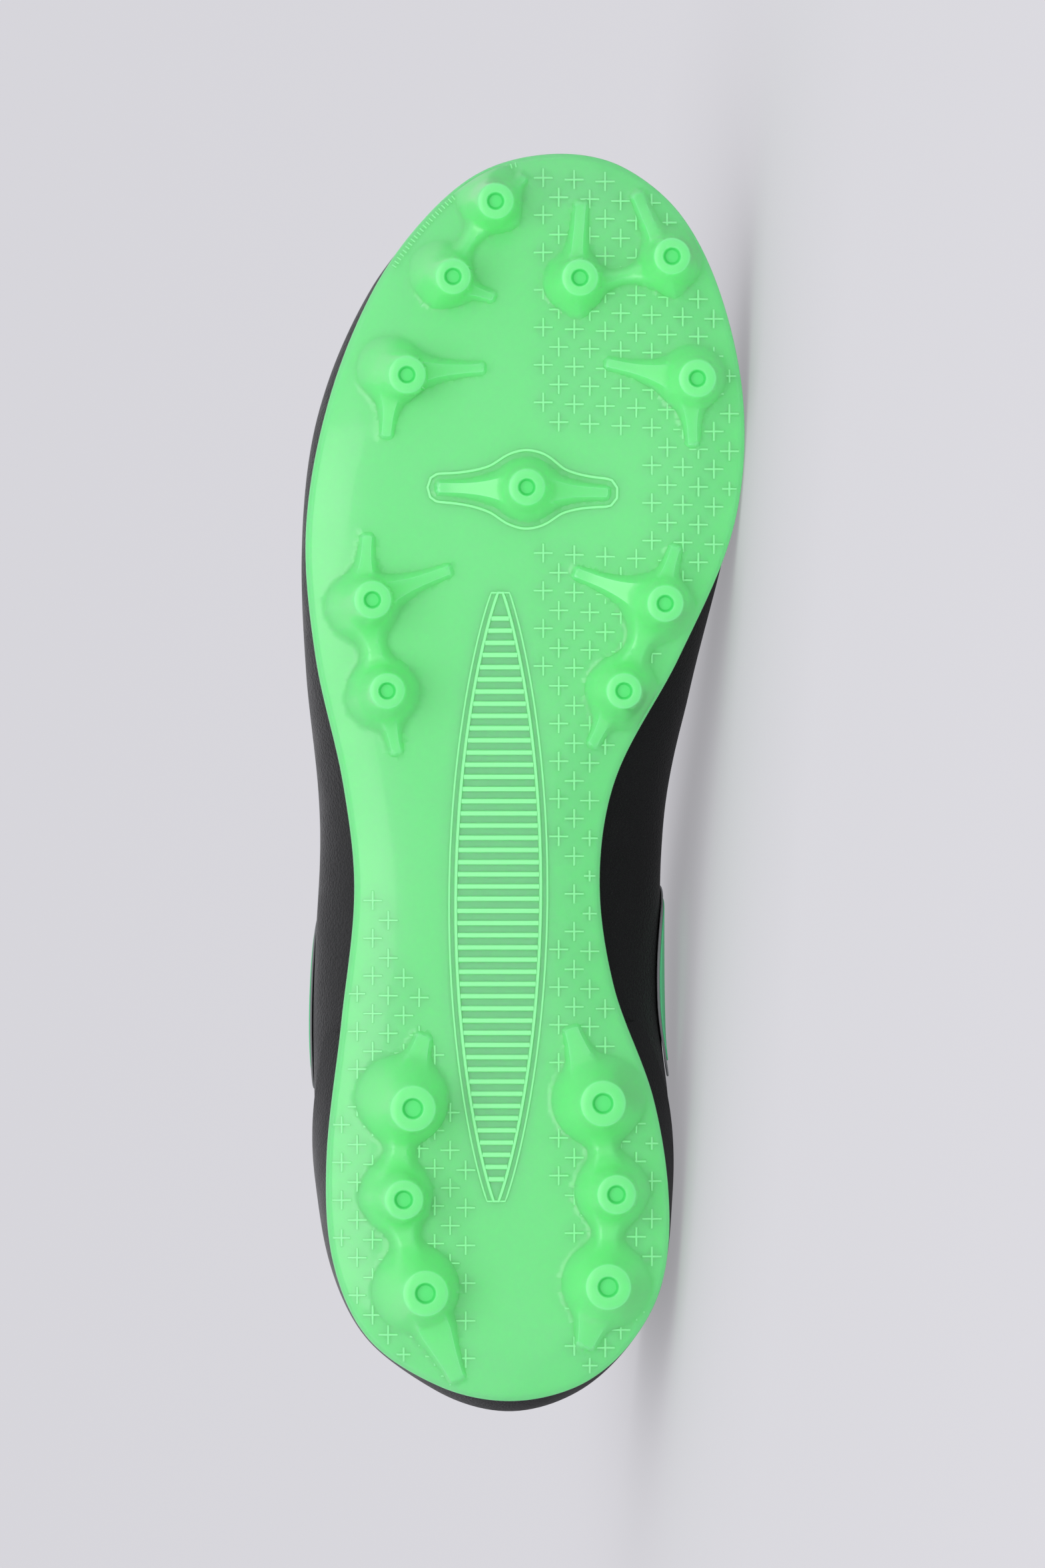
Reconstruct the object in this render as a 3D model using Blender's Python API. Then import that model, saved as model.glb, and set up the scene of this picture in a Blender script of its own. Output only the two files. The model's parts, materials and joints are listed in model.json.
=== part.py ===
"""A soccer cleat: the right shoe of a pair, low cut and laced, lying on its inner side.

Every piece is modelled in the shoe's own axes: X runs from the heel to the toe, Y towards the inner side of the
foot, Z up from the ground that the stud tips stand on. An empty then lays the whole shoe on its inner side, on the
three places where a real one touches the floor. All sizes are in metres.
"""

import math

import bmesh
import bpy
import numpy as np
from mathutils import Matrix, Vector
from mathutils.geometry import delaunay_2d_cdt

# Driving sizes
SHOE_LENGTH = 0.285
BALL_WIDTH = 0.098
INSTEP_HEIGHT = 0.094
GAP = 0.0003

# Sole plate
STUD_HEIGHT = 0.0115
ARCH_LIFT = 0.0070
TOE_SPRING = 0.0170
HEEL_UPTURN = 0.0030
PLATE_THICKNESS = 0.0058
BED_DEPTH = 0.0022
BED_SLOPE = 0.0040
EDGE_RISE = 0.0028
EDGE_REACH = 0.0150
EDGE_ROUND = 0.0009

# Studs and the wings that brace them
STUD_DRAFT = math.tan(math.radians(11))
STUD_FLARE = 0.0015
STUD_FLARE_HEIGHT = 0.0050
RECESS_DEPTH = 0.0016
RECESS_DRAFT = 0.0002
WING_ROOT_HEIGHT = 0.0062
WING_END_HEIGHT = 0.0013
WING_ROOT_HALF = 0.0020
WING_END_HALF = 0.0010
BRIDGE_MIDDLE_HEIGHT = 0.0036
WING_SIDE_SLOPE = 1.5
BLEND = 0.0014

# Upper and what is on or in it
WALL = 0.0018
FEATHER_INSET = 0.0016
OVERLAY = 0.0010
COUNTER_OVERLAY = 0.0012
PANEL_OVERLAY = 0.0008
COLLAR_PADDING = 0.0042
EYELET_RADIUS = 0.0022
TONGUE_CLEARANCE = 0.0009
TONGUE_THICKNESS = 0.0032
TONGUE_RISE = 0.0210
INSOLE_THICKNESS = 0.0030
LACE_WIDTH = 0.0062
LACE_THICKNESS = 0.0016
LACE_CLEARANCE = 0.0011
LACE_CROWN = 0.10
LACE_STEPS = 8
LACE_SIDES = 6

# How finely curved faces are cut
SIDE_STEPS = 28
UPPER_ROWS = 12
STUD_SEGMENTS = 10

# The sole's edge, round the inner side to the toe and back round the outer side:
# share of the length from the heel, share of the ball width from the shoe's axis
SOLE_OUTLINE = (
    (0.0105, -0.030), (0.022, 0.125), (0.052, 0.238), (0.100, 0.318), (0.165, 0.338), (0.250, 0.302),
    (0.340, 0.210), (0.425, 0.178), (0.505, 0.216), (0.600, 0.361), (0.700, 0.484), (0.790, 0.511),
    (0.880, 0.464), (0.950, 0.368), (0.990, 0.228),
    (1.000, 0.078), (0.987, -0.088), (0.950, -0.222), (0.890, -0.346), (0.800, -0.449), (0.700, -0.499),
    (0.600, -0.477), (0.500, -0.414), (0.415, -0.388), (0.310, -0.418), (0.200, -0.452), (0.120, -0.436),
    (0.060, -0.355), (0.022, -0.190),
)
TOE_APEX_ROW = 15

# The line that the last is built on: share of the length, share of the ball width
SPINE = ((0.0, -0.036), (0.45, -0.042), (0.75, 0.012), (1.0, 0.100))

# How much of the arch lift the plate has: share of the length, share of the lift
ARCH = ((0.0, 0.0), (0.16, 0.02), (0.30, 0.55), (0.42, 1.0), (0.54, 0.55), (0.68, 0.02), (1.0, 0.0))
TOE_BREAK = 0.70
HEEL_BREAK = 0.07

# Studs: name, tip centre as shares of the length and ball width, lean of the tip from the base along and across
# as shares of the stud height, tip and recess radius as shares of the stud height
STUDS = (
    ("toe_outer", 0.961, -0.062, 0.10, 0.09, 0.355, 0.165),
    ("toe_outer_back", 0.901, -0.160, 0.06, 0.20, 0.350, 0.165),
    ("toe_inner_back", 0.900, 0.132, 0.16, 0.11, 0.360, 0.165),
    ("toe_inner", 0.917, 0.344, 0.18, 0.08, 0.360, 0.165),
    ("ball_outer_front", 0.823, -0.266, -0.04, 0.28, 0.370, 0.165),
    ("ball_inner_front", 0.820, 0.402, 0.03, 0.14, 0.370, 0.165),
    ("ball_centre", 0.734, 0.010, 0.04, 0.00, 0.360, 0.165),
    ("ball_outer", 0.645, -0.345, 0.05, 0.19, 0.370, 0.165),
    ("ball_inner", 0.642, 0.328, 0.00, 0.14, 0.360, 0.165),
    ("ball_outer_back", 0.573, -0.311, 0.03, 0.07, 0.350, 0.165),
    ("ball_inner_back", 0.573, 0.233, 0.00, 0.08, 0.350, 0.165),
    ("heel_outer_front", 0.243, -0.252, -0.12, 0.19, 0.450, 0.200),
    ("heel_inner_front", 0.247, 0.185, 0.00, 0.13, 0.450, 0.200),
    ("heel_outer", 0.171, -0.273, -0.05, 0.16, 0.385, 0.180),
    ("heel_inner", 0.175, 0.216, -0.04, 0.10, 0.385, 0.180),
    ("heel_outer_back", 0.097, -0.223, -0.09, 0.18, 0.450, 0.200),
    ("heel_inner_back", 0.102, 0.197, -0.05, 0.08, 0.450, 0.200),
)

# Wings: the stud that each one braces, and its far end as shares of the length and ball width
WINGS = (
    ("toe_outer", 0.981, 0.003), ("toe_outer_back", 0.885, -0.068), ("toe_inner_back", 0.960, 0.135),
    ("toe_inner", 0.968, 0.264), ("ball_outer_front", 0.829, -0.090), ("ball_outer_front", 0.775, -0.314),
    ("ball_inner_front", 0.833, 0.194), ("ball_inner_front", 0.768, 0.392), ("ball_centre", 0.734, -0.195),
    ("ball_centre", 0.730, 0.196), ("ball_outer", 0.696, -0.357), ("ball_outer", 0.669, -0.168),
    ("ball_inner", 0.687, 0.353), ("ball_inner", 0.667, 0.122), ("ball_outer_back", 0.524, -0.290),
    ("ball_inner_back", 0.530, 0.161), ("heel_outer_front", 0.300, -0.227), ("heel_inner_front", 0.306, 0.112),
    ("heel_outer_back", 0.028, -0.150), ("heel_inner_back", 0.054, 0.144),
)

# Bridges: low ridges that join two studs
BRIDGES = (
    ("toe_outer", "toe_outer_back"), ("toe_inner", "toe_inner_back"), ("ball_outer", "ball_outer_back"),
    ("ball_inner", "ball_inner_back"), ("heel_outer_front", "heel_outer"), ("heel_inner_front", "heel_inner"),
    ("heel_outer", "heel_outer_back"), ("heel_inner", "heel_inner_back"),
)

# The upper's ribs, from the heel's middle to the toe's middle on either side. Each runs from the sole's edge to the
# edge of the collar or throat, as one curve with two handles.
# along: share of the side's edge length      edge_x, edge_side, edge_up: where the rib ends, as shares of the
# length, of the ball width from the spine, and of the instep height
# belly_up, inner_out, outer_out: the lower handle, up and outwards, on the inner and the outer side
# brow_out, brow_down: the upper handle, outwards and down. Handles are shares of the instep height going up
# and down, and of the ball width going outwards.
RIB_COLUMNS = ("along", "edge_x", "edge_side", "edge_up", "belly_up", "inner_out", "outer_out", "brow_out", "brow_down")
RIBS = (
    (0.00, 0.036, 0.000, 0.800, 0.20, 0.085, 0.085, 0.020, 0.20),
    (0.09, 0.060, 0.215, 0.785, 0.20, 0.020, 0.030, 0.020, 0.20),
    (0.20, 0.130, 0.330, 0.715, 0.21, 0.030, 0.060, 0.025, 0.19),
    (0.31, 0.225, 0.350, 0.690, 0.23, 0.150, 0.165, 0.035, 0.17),
    (0.41, 0.310, 0.300, 0.800, 0.25, 0.275, 0.235, 0.060, 0.18),
    (0.49, 0.365, 0.215, 0.985, 0.26, 0.290, 0.200, 0.120, 0.17),
    (0.57, 0.425, 0.175, 0.955, 0.26, 0.170, 0.145, 0.170, 0.14),
    (0.66, 0.500, 0.155, 0.850, 0.26, 0.060, 0.110, 0.230, 0.12),
    (0.75, 0.570, 0.138, 0.760, 0.26, 0.010, 0.145, 0.290, 0.10),
    (0.84, 0.625, 0.110, 0.695, 0.25, 0.015, 0.125, 0.360, 0.09),
    (0.92, 0.652, 0.064, 0.662, 0.23, 0.045, 0.080, 0.410, 0.08),
    (1.00, 0.662, 0.000, 0.652, 0.22, 0.060, 0.060, 0.430, 0.08),
)

# The eyestay runs round the throat from its top corners
EYESTAY_START = 14
EYESTAY_ROWS = 3
EYELETS_ALONG = (0.520, 0.590, 0.665, 0.745, 0.830)
EYELET_DROP = 0.075

# The heel counter's top edge: share along the side, share of the rib's height
COUNTER_EDGE = ((0.0, 0.60), (0.08, 0.57), (0.17, 0.44), (0.26, 0.24), (0.34, 0.10))
COUNTER_STEPS = 9
COUNTER_ROWS = 7
COUNTER_FOOT = 0.015

# The oval trim panel on each side: centre along the side and up the rib, half length, half height
PANEL_CENTRE = (0.385, 0.52)
PANEL_HALF_LENGTH = 0.085
PANEL_HALF_HEIGHT = 0.120
PANEL_LEAN = 0.55

# The collar's padding: how many of the side's steps it runs from the heel, and how far down the rib it reaches
PADDING_STEPS = 12
PADDING_FOOT = 0.62
PADDING_TOP = 0.985

# The tongue runs from one of the side's steps up to another, under the upper's top rows
TONGUE_STEPS = (27, 14)
TONGUE_ROWS = 3
TONGUE_CROWN = 0.030
TONGUE_TOP_STEPS = 4
TONGUE_FLATTENING = 0.55
TONGUE_NARROWING = 0.22

# Paint: base colour, roughness
GREEN = ((0.16, 0.82, 0.26, 1.0), 0.30)
BLACK = ((0.012, 0.013, 0.013, 1.0), 0.45)
BLACK_CLOTH = ((0.016, 0.017, 0.018, 1.0), 0.90)
GREY = ((0.20, 0.21, 0.22, 1.0), 0.45)


def curve_through(points, level_ends=False):
    """A smooth function through (place, value) pairs. With level_ends its slope is zero at both ends."""
    places = np.array([p[0] for p in points], float)
    values = np.array([p[1] for p in points], float)
    secants = np.diff(values) / np.diff(places)
    slopes = np.empty_like(values)
    slopes[1:-1] = (values[2:] - values[:-2]) / (places[2:] - places[:-2])
    slopes[0], slopes[-1] = (0.0, 0.0) if level_ends else (secants[0], secants[-1])

    def at(place):
        place = np.clip(np.asarray(place, float), places[0], places[-1])
        k = np.clip(np.searchsorted(places, place, side="right") - 1, 0, len(places) - 2)
        step = places[k + 1] - places[k]
        u = (place - places[k]) / step
        return (
            (1 + 2 * u) * (1 - u) ** 2 * values[k]
            + u * (1 - u) ** 2 * step * slopes[k]
            + u * u * (3 - 2 * u) * values[k + 1]
            + u * u * (u - 1) * step * slopes[k + 1]
        )

    return at


def closed_curve(corners, steps=14):
    """Close-set points on a smooth closed curve through the corners."""
    corners = np.array(corners, float)
    ahead, behind = np.roll(corners, -1, 0), np.roll(corners, 1, 0)
    span = np.linalg.norm(ahead - corners, axis=1)[:, None]
    span_before = np.roll(span, 1, 0)
    tangents = (ahead - behind) / (span + span_before)
    points = []
    for k in range(len(corners)):
        for u in np.arange(steps) / steps:
            following = (k + 1) % len(corners)
            points.append(
                (1 + 2 * u) * (1 - u) ** 2 * corners[k]
                + u * (1 - u) ** 2 * span[k] * tangents[k]
                + u * u * (3 - 2 * u) * corners[following]
                + u * u * (u - 1) * span[k] * tangents[following]
            )
    return np.array(points)


def evenly(points, count):
    """count points at even distances along the line through points, ends included."""
    points = np.asarray(points, float)
    run = np.concatenate([[0], np.cumsum(np.linalg.norm(np.diff(points, axis=0), axis=1))])
    places = np.linspace(0, run[-1], count)
    return np.stack([np.interp(places, run, points[:, k]) for k in range(points.shape[1])], 1)


def smooth_step(value, low, high):
    """0 below low, 1 above high, smooth in between."""
    u = np.clip((np.asarray(value, float) - low) / (high - low), 0, 1)
    return u * u * (3 - 2 * u)


def smooth_min(a, b, width):
    """The lower of two surfaces, with the corner between them rounded."""
    h = np.clip(0.5 + 0.5 * (b - a) / width, 0, 1)
    return b + (a - b) * h - width * h * (1 - h)


DENSE_OUTLINE = closed_curve([(x * SHOE_LENGTH, y * BALL_WIDTH) for x, y in SOLE_OUTLINE])
TOE_APEX = TOE_APEX_ROW * 14


def outline_loop(steps):
    """The sole's edge in plan: steps points from the heel to the toe round the inner side, and as many back."""
    inner = evenly(DENSE_OUTLINE[: TOE_APEX + 1], steps + 1)
    outer = evenly(np.vstack([DENSE_OUTLINE[TOE_APEX:], DENSE_OUTLINE[:1]]), steps + 1)
    return np.vstack([inner[:-1], outer[:-1]])


def outward(loop):
    """The outward direction at each point of a loop that runs round by the inner side."""
    tangent = np.roll(loop, -1, 0) - np.roll(loop, 1, 0)
    normal = np.stack([-tangent[:, 1], tangent[:, 0]], 1)
    normal /= np.linalg.norm(normal, axis=1)[:, None]
    centre = loop.mean(0)
    facing = np.sign(((loop - centre) * normal).sum(1).sum())
    return normal * facing


def edge_distance(x, y):
    """How far each point in plan lies from the sole's edge."""
    points = np.stack([np.ravel(x), np.ravel(y)], 1)
    starts = DENSE_OUTLINE
    spans = np.roll(DENSE_OUTLINE, -1, 0) - starts
    along = ((points[:, None] - starts) * spans).sum(2) / (spans**2).sum(1)
    nearest = starts + np.clip(along, 0, 1)[..., None] * spans
    return np.linalg.norm(points[:, None] - nearest, axis=2).min(1).reshape(np.shape(x))


def toe_lift(x):
    return TOE_SPRING * np.clip((x / SHOE_LENGTH - TOE_BREAK) / (1 - TOE_BREAK), 0, None) ** 2


def plate_line(x):
    """Height of the plate's underside along the middle of the shoe."""
    share = np.asarray(x, float) / SHOE_LENGTH
    heel = HEEL_UPTURN * np.clip(1 - share / HEEL_BREAK, 0, None) ** 2
    return STUD_HEIGHT + ARCH_LIFT * curve_through(ARCH)(share) + toe_lift(x) + heel


def plate_underside(x, y):
    """Height of the plate's underside, which curves up towards its edge."""
    near = np.clip(1 - edge_distance(x, y) / EDGE_REACH, 0, 1)
    return plate_line(x) + EDGE_RISE * near**2


BED_RIM = FEATHER_INSET + WALL + 2 * GAP
BED_RINGS = (BED_RIM, BED_RIM + BED_SLOPE / 2, BED_RIM + BED_SLOPE)


def plate_top(x, distance):
    """Height of the plate's top: a flat rim that the upper stands on, round a shallow foot bed."""
    return plate_line(x) + PLATE_THICKNESS - BED_DEPTH * smooth_step(distance, BED_RIM, BED_RIM + BED_SLOPE)


class Stud:
    """One stud: where its tip and base are, and how wide it is at each height."""

    def __init__(self, name, x, y, lean_x, lean_y, tip, recess):
        self.name = name
        self.tip = np.array([x * SHOE_LENGTH, y * BALL_WIDTH])
        self.lean = np.array([lean_x, lean_y]) * STUD_HEIGHT
        self.tip_radius = tip * STUD_HEIGHT
        self.recess_radius = recess * STUD_HEIGHT
        self.tip_level = float(toe_lift(self.tip[0]))
        self.base_level = float(plate_underside(*self.tip))
        self.height = self.base_level - self.tip_level

    def radius(self, height):
        flare = STUD_FLARE * np.clip(1 - height / STUD_FLARE_HEIGHT, 0, None) ** 2
        return self.tip_radius + STUD_DRAFT * (self.height - height) + flare

    def centre(self, height):
        share = 1 - np.asarray(height, float) / self.height
        return self.tip - share[..., None] * self.lean

    @property
    def base(self):
        return self.tip - self.lean

    def level(self, x, y):
        """Height of the stud's surface over each point in plan."""
        points = np.stack([x, y], -1)
        low, high = np.zeros(np.shape(x)), np.full(np.shape(x), self.height)
        for _ in range(20):
            middle = (low + high) / 2
            inside = np.linalg.norm(points - self.centre(middle), axis=-1) < self.radius(middle)
            low, high = np.where(inside, middle, low), np.where(inside, high, middle)
        outside = np.linalg.norm(points - self.base, axis=-1) - self.radius(np.zeros(1))
        slope = 1 / (STUD_DRAFT + 2 * STUD_FLARE / STUD_FLARE_HEIGHT)
        reached = np.where(outside > 0, -outside * slope, low)
        reached = np.where(reached > self.height * 0.9999, self.height, reached)
        return self.base_level - reached


STUD_LIST = [Stud(*row) for row in STUDS]
STUD_NAMED = {stud.name: stud for stud in STUD_LIST}


def ridge_segments():
    """Every wing and bridge as (start, end, whether it joins two studs)."""
    for name, x, y in WINGS:
        yield STUD_NAMED[name].base, np.array([x * SHOE_LENGTH, y * BALL_WIDTH]), False
    for first, second in BRIDGES:
        yield STUD_NAMED[first].base, STUD_NAMED[second].base, True


def ridge_shape(u, bridge):
    """Height and half width of a wing's flat top at the share u of its length."""
    fade = (2 * u - 1) ** 2 if bridge else (1 - u) ** 1.6
    low = BRIDGE_MIDDLE_HEIGHT if bridge else WING_END_HEIGHT
    height = low + (WING_ROOT_HEIGHT - low) * fade
    half = WING_END_HALF + (WING_ROOT_HALF - WING_END_HALF) * fade
    return height, half


def ridge_level(x, y, start, end, bridge, plate):
    """Height of a wing's or bridge's surface over each point in plan."""
    span = end - start
    along = ((x - start[0]) * span[0] + (y - start[1]) * span[1]) / (span @ span)
    u = np.clip(along, 0, 1)
    aside = np.hypot(x - start[0] - u * span[0], y - start[1] - u * span[1])
    height, half = ridge_shape(u, bridge)
    return plate - (height - WING_SIDE_SLOPE * np.clip(aside - half, 0, None))


def sole_underside(x, y):
    """Height of the sole's underside with its studs, wings and bridges, each joined to the next by a fillet."""
    x, y = np.asarray(x, float), np.asarray(y, float)
    plate = plate_underside(x, y)
    level = plate.copy()
    for start, end, bridge in ridge_segments():
        level = smooth_min(level, ridge_level(x, y, start, end, bridge, plate), BLEND)
    for stud in STUD_LIST:
        level = smooth_min(level, stud.level(x, y), BLEND)
    return level


def circle(centre, radius, segments, turn=0.0):
    angles = 2 * math.pi * (np.arange(segments) + turn) / segments
    return np.stack([centre[0] + radius * np.cos(angles), centre[1] + radius * np.sin(angles)], 1)


class Plan:
    """Points in plan with their heights, and the rings among them that stay whole when they are triangulated."""

    def __init__(self, border, border_levels):
        self.points = [tuple(p) for p in border]
        self.levels = list(border_levels)
        self.border = list(range(len(border)))
        self.edges = []

    def add(self, points, levels, ring=False):
        first = len(self.points)
        self.points += [tuple(p) for p in points]
        self.levels += list(np.broadcast_to(levels, len(points)))
        if ring:
            count = len(points)
            self.edges += [(first + k, first + (k + 1) % count) for k in range(count)]

    def triangles(self):
        """(points with heights, triangles), with the border's points first and in their order."""
        made = delaunay_2d_cdt([Vector(p) for p in self.points], self.edges, [self.border], 1, 1e-6)
        verts, _, faces, sources = made[0], made[1], made[2], made[3]
        levels = [self.levels[source[0]] for source in sources]
        solid = [Vector((v.x, v.y, z)) for v, z in zip(verts, levels)]
        place_of = {source: k for k, names in enumerate(sources) for source in names}
        return solid, faces, [place_of[k] for k in self.border]


def clear_of(points, centres, radii):
    """The points that lie outside every circle."""
    points = np.asarray(points, float)
    keep = np.ones(len(points), bool)
    for centre, radius in zip(centres, radii):
        keep &= np.linalg.norm(points - centre, axis=1) > radius
    return points[keep]


def fill_points(inset, spacing):
    """Points of a triangular grid that lie at least inset inside the sole's edge."""
    low, high = DENSE_OUTLINE.min(0), DENSE_OUTLINE.max(0)
    rows = []
    for k, y in enumerate(np.arange(low[1], high[1], spacing * math.sqrt(0.75))):
        x = np.arange(low[0] + (k % 2) * spacing / 2, high[0], spacing)
        rows.append(np.stack([x, np.full(len(x), y)], 1))
    grid = np.vstack(rows)
    loop, after = DENSE_OUTLINE, np.roll(DENSE_OUTLINE, -1, 0)
    above = (loop[:, 1] > grid[:, 1:]) != (after[:, 1] > grid[:, 1:])
    rise = np.where(after[:, 1] == loop[:, 1], 1, after[:, 1] - loop[:, 1])
    crossing = loop[:, 0] + (grid[:, 1:] - loop[:, 1]) / rise * (after[:, 0] - loop[:, 0])
    inside = (above & (grid[:, :1] < crossing)).sum(1) % 2 == 1
    return grid[inside & (edge_distance(grid[:, 0], grid[:, 1]) > inset)]


def underside_plan(border):
    """The sole's underside: rings on each stud, lines along each wing, and a wide grid between them."""
    plan = Plan(border, plate_underside(border[:, 0], border[:, 1]))
    stud_reach = [stud.radius(0.0) * 0.80 for stud in STUD_LIST]
    bases = [stud.base for stud in STUD_LIST]
    for stud in STUD_LIST:
        tip_edge = circle(stud.tip, stud.tip_radius, STUD_SEGMENTS)
        plan.add(tip_edge, stud.tip_level, ring=True)
        plan.add(circle(stud.tip, stud.recess_radius, STUD_SEGMENTS), stud.tip_level, ring=True)
        floor = stud.tip_level + RECESS_DEPTH
        plan.add(circle(stud.tip, stud.recess_radius - RECESS_DRAFT, STUD_SEGMENTS), floor, ring=True)
        for share, turn in ((0.52, 0.0), (0.22, 0.5), (0.0, 0.0)):
            height = share * stud.height
            ring = circle(stud.centre(height), float(stud.radius(height)), STUD_SEGMENTS, turn)
            others = [(b, r) for b, r in zip(bases, stud_reach) if np.linalg.norm(b - stud.base) > GAP]
            ring = clear_of(ring, [b for b, _ in others], [r for _, r in others])
            ring = ring[edge_distance(ring[:, 0], ring[:, 1]) > EDGE_ROUND * 2]
            plan.add(ring, sole_underside(ring[:, 0], ring[:, 1]))
    for start, end, bridge in ridge_segments():
        span = end - start
        across = np.array([-span[1], span[0]]) / np.linalg.norm(span)
        places = (0.5,) if bridge else (0.55, 0.78, 1.0)
        line = []
        for u in places:
            height, half = ridge_shape(np.array(u), bridge)
            foot = half + height / WING_SIDE_SLOPE
            line += [start + u * span + side * across for side in (-foot, -half, half, foot)]
        if not bridge:
            beyond = span / np.linalg.norm(span) * (WING_END_HALF + WING_END_HEIGHT / WING_SIDE_SLOPE)
            line.append(end + beyond)
        line = clear_of(line, bases, stud_reach)
        line = line[edge_distance(line[:, 0], line[:, 1]) > EDGE_ROUND * 2]
        plan.add(line, sole_underside(line[:, 0], line[:, 1]))
    taken = [np.array(p) for p in plan.points[len(border):]]
    grid = clear_of(fill_points(EDGE_REACH * 0.32, 0.0105), taken, [0.0042] * len(taken))
    plan.add(grid, sole_underside(grid[:, 0], grid[:, 1]))
    return plan


def bed_points(plan, lift, first):
    """Adds the foot bed's rings from number first inwards, and a wide grid inside them."""
    for inset in BED_RINGS[first:]:
        ring = inset_loop(inset)
        plan.add(ring, plate_top(ring[:, 0], inset) + lift)
    grid = fill_points(BED_RINGS[-1] + BED_SLOPE, 0.015)
    plan.add(grid, plate_top(grid[:, 0], edge_distance(grid[:, 0], grid[:, 1])) + lift)
    return plan


def inset_loop(inset, steps=SIDE_STEPS):
    loop = outline_loop(steps)
    return loop - outward(loop) * inset


def add_plan(mesh, plan, upwards):
    """Adds a triangulated plan to the mesh and returns its border's vertices in their order."""
    solid, faces, border = plan.triangles()
    verts = [mesh.verts.new(p) for p in solid]
    for face in faces:
        corners = [verts[k] for k in face]
        drawn = mesh.faces.new(corners)
        drawn.normal_update()
        if (drawn.normal.z > 0) != upwards:
            drawn.normal_flip()
    return [verts[k] for k in border]


def two_triangles(mesh, a, b, c, d):
    """A four-sided patch cut from a to c, so that patches over each other are cut alike."""
    mesh.faces.new((a, b, c))
    mesh.faces.new((a, c, d))


def join_loops(mesh, lower, upper):
    """Patches between two loops of as many vertices."""
    count = len(lower)
    for k in range(count):
        after = (k + 1) % count
        two_triangles(mesh, lower[k], lower[after], upper[after], upper[k])


def material(name, paint):
    colour, roughness = paint
    made = bpy.data.materials.new(name)
    made.use_nodes = True
    shader = made.node_tree.nodes["Principled BSDF"]
    shader.inputs["Base Color"].default_value = colour
    shader.inputs["Roughness"].default_value = roughness
    shader.inputs["Metallic"].default_value = 0.0
    made.diffuse_color = colour
    return made


def finish(mesh, name, paint, sharp_degrees=35):
    """Makes the mesh an object with its faces out, its paint and smooth shading."""
    bmesh.ops.recalc_face_normals(mesh, faces=mesh.faces)
    data = bpy.data.meshes.new(name)
    mesh.to_mesh(data)
    mesh.free()
    data.shade_smooth()
    data.set_sharp_from_angle(angle=math.radians(sharp_degrees))
    made = bpy.data.objects.new(name, data)
    bpy.context.scene.collection.objects.link(made)
    made.data.materials.append(material(name, paint))
    return made


def build_outsole():
    """The moulded sole plate with its studs, wings and bridges in one piece."""
    mesh = bmesh.new()
    full = outline_loop(SIDE_STEPS)
    under = inset_loop(EDGE_ROUND)
    bottom = add_plan(mesh, underside_plan(under), upwards=False)
    top_inner = inset_loop(EDGE_ROUND / 2)
    top_plan = bed_points(Plan(top_inner, plate_top(top_inner[:, 0], EDGE_ROUND / 2)), 0.0, 0)
    top = add_plan(mesh, top_plan, upwards=True)
    edge_level = plate_underside(full[:, 0], full[:, 1])
    low = [mesh.verts.new((x, y, z + EDGE_ROUND)) for (x, y), z in zip(full, edge_level)]
    high_level = plate_top(full[:, 0], 0.0) - EDGE_ROUND / 2
    high = [mesh.verts.new((x, y, z)) for (x, y), z in zip(full, high_level)]
    join_loops(mesh, bottom, low)
    join_loops(mesh, low, high)
    join_loops(mesh, high, top)
    return finish(mesh, "outsole", GREEN)


def rib_values():
    """One smooth function along the side for each column of the rib table."""
    values = {}
    for column, name in enumerate(RIB_COLUMNS[1:], start=1):
        pairs = [(row[0], row[column]) for row in RIBS]
        values[name] = curve_through(pairs, level_ends=name != "edge_side")
    return values


RIB_VALUES = rib_values()
FEATHER_STEPS = 240
FEATHER = inset_loop(FEATHER_INSET, FEATHER_STEPS)
FEATHER_OUT = outward(FEATHER)
SPINE_LINE = curve_through(SPINE)


def rib(turn):
    """The four points of one rib's curve. turn goes from 0 at the heel to 0.5 at the toe by the inner side and on
    to 1 by the outer side."""
    turn = turn % 1.0
    inner = turn <= 0.5
    along = 2 * turn if inner else 2 * (1 - turn)
    place = turn * len(FEATHER)
    before = int(place) % len(FEATHER)
    after = (before + 1) % len(FEATHER)
    part = place - int(place)
    foot_plan = FEATHER[before] * (1 - part) + FEATHER[after] * part
    out = FEATHER_OUT[before] * (1 - part) + FEATHER_OUT[after] * part
    value = {name: float(at(along)) for name, at in RIB_VALUES.items()}
    edge_x = value["edge_x"] * SHOE_LENGTH
    side = 1 if inner else -1
    edge_y = (float(SPINE_LINE(value["edge_x"])) + side * value["edge_side"]) * BALL_WIDTH
    foot = np.array([*foot_plan, float(plate_top(foot_plan[0], FEATHER_INSET)) + GAP])
    edge = np.array([edge_x, edge_y, value["edge_up"] * INSTEP_HEIGHT])
    fall = foot[:2] - edge[:2] + out * EDGE_REACH
    fall /= np.linalg.norm(fall)
    belly_out = value["inner_out" if inner else "outer_out"] * BALL_WIDTH
    lower = foot + np.array([*(out * belly_out), value["belly_up"] * INSTEP_HEIGHT])
    brow = np.array([*(fall * value["brow_out"] * BALL_WIDTH), -value["brow_down"] * INSTEP_HEIGHT])
    return foot, lower, edge + brow, edge


def rib_points(turn, count=48):
    """Close-set points along one rib, evenly spaced from the sole's edge to the collar or throat."""
    a, b, c, d = rib(turn)
    s = np.linspace(0, 1, count)[:, None]
    curve = (1 - s) ** 3 * a + 3 * s * (1 - s) ** 2 * b + 3 * s * s * (1 - s) * c + s**3 * d
    return evenly(curve, count)


SKIN_TURNS = 288
SKIN_ROWS = 48


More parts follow.
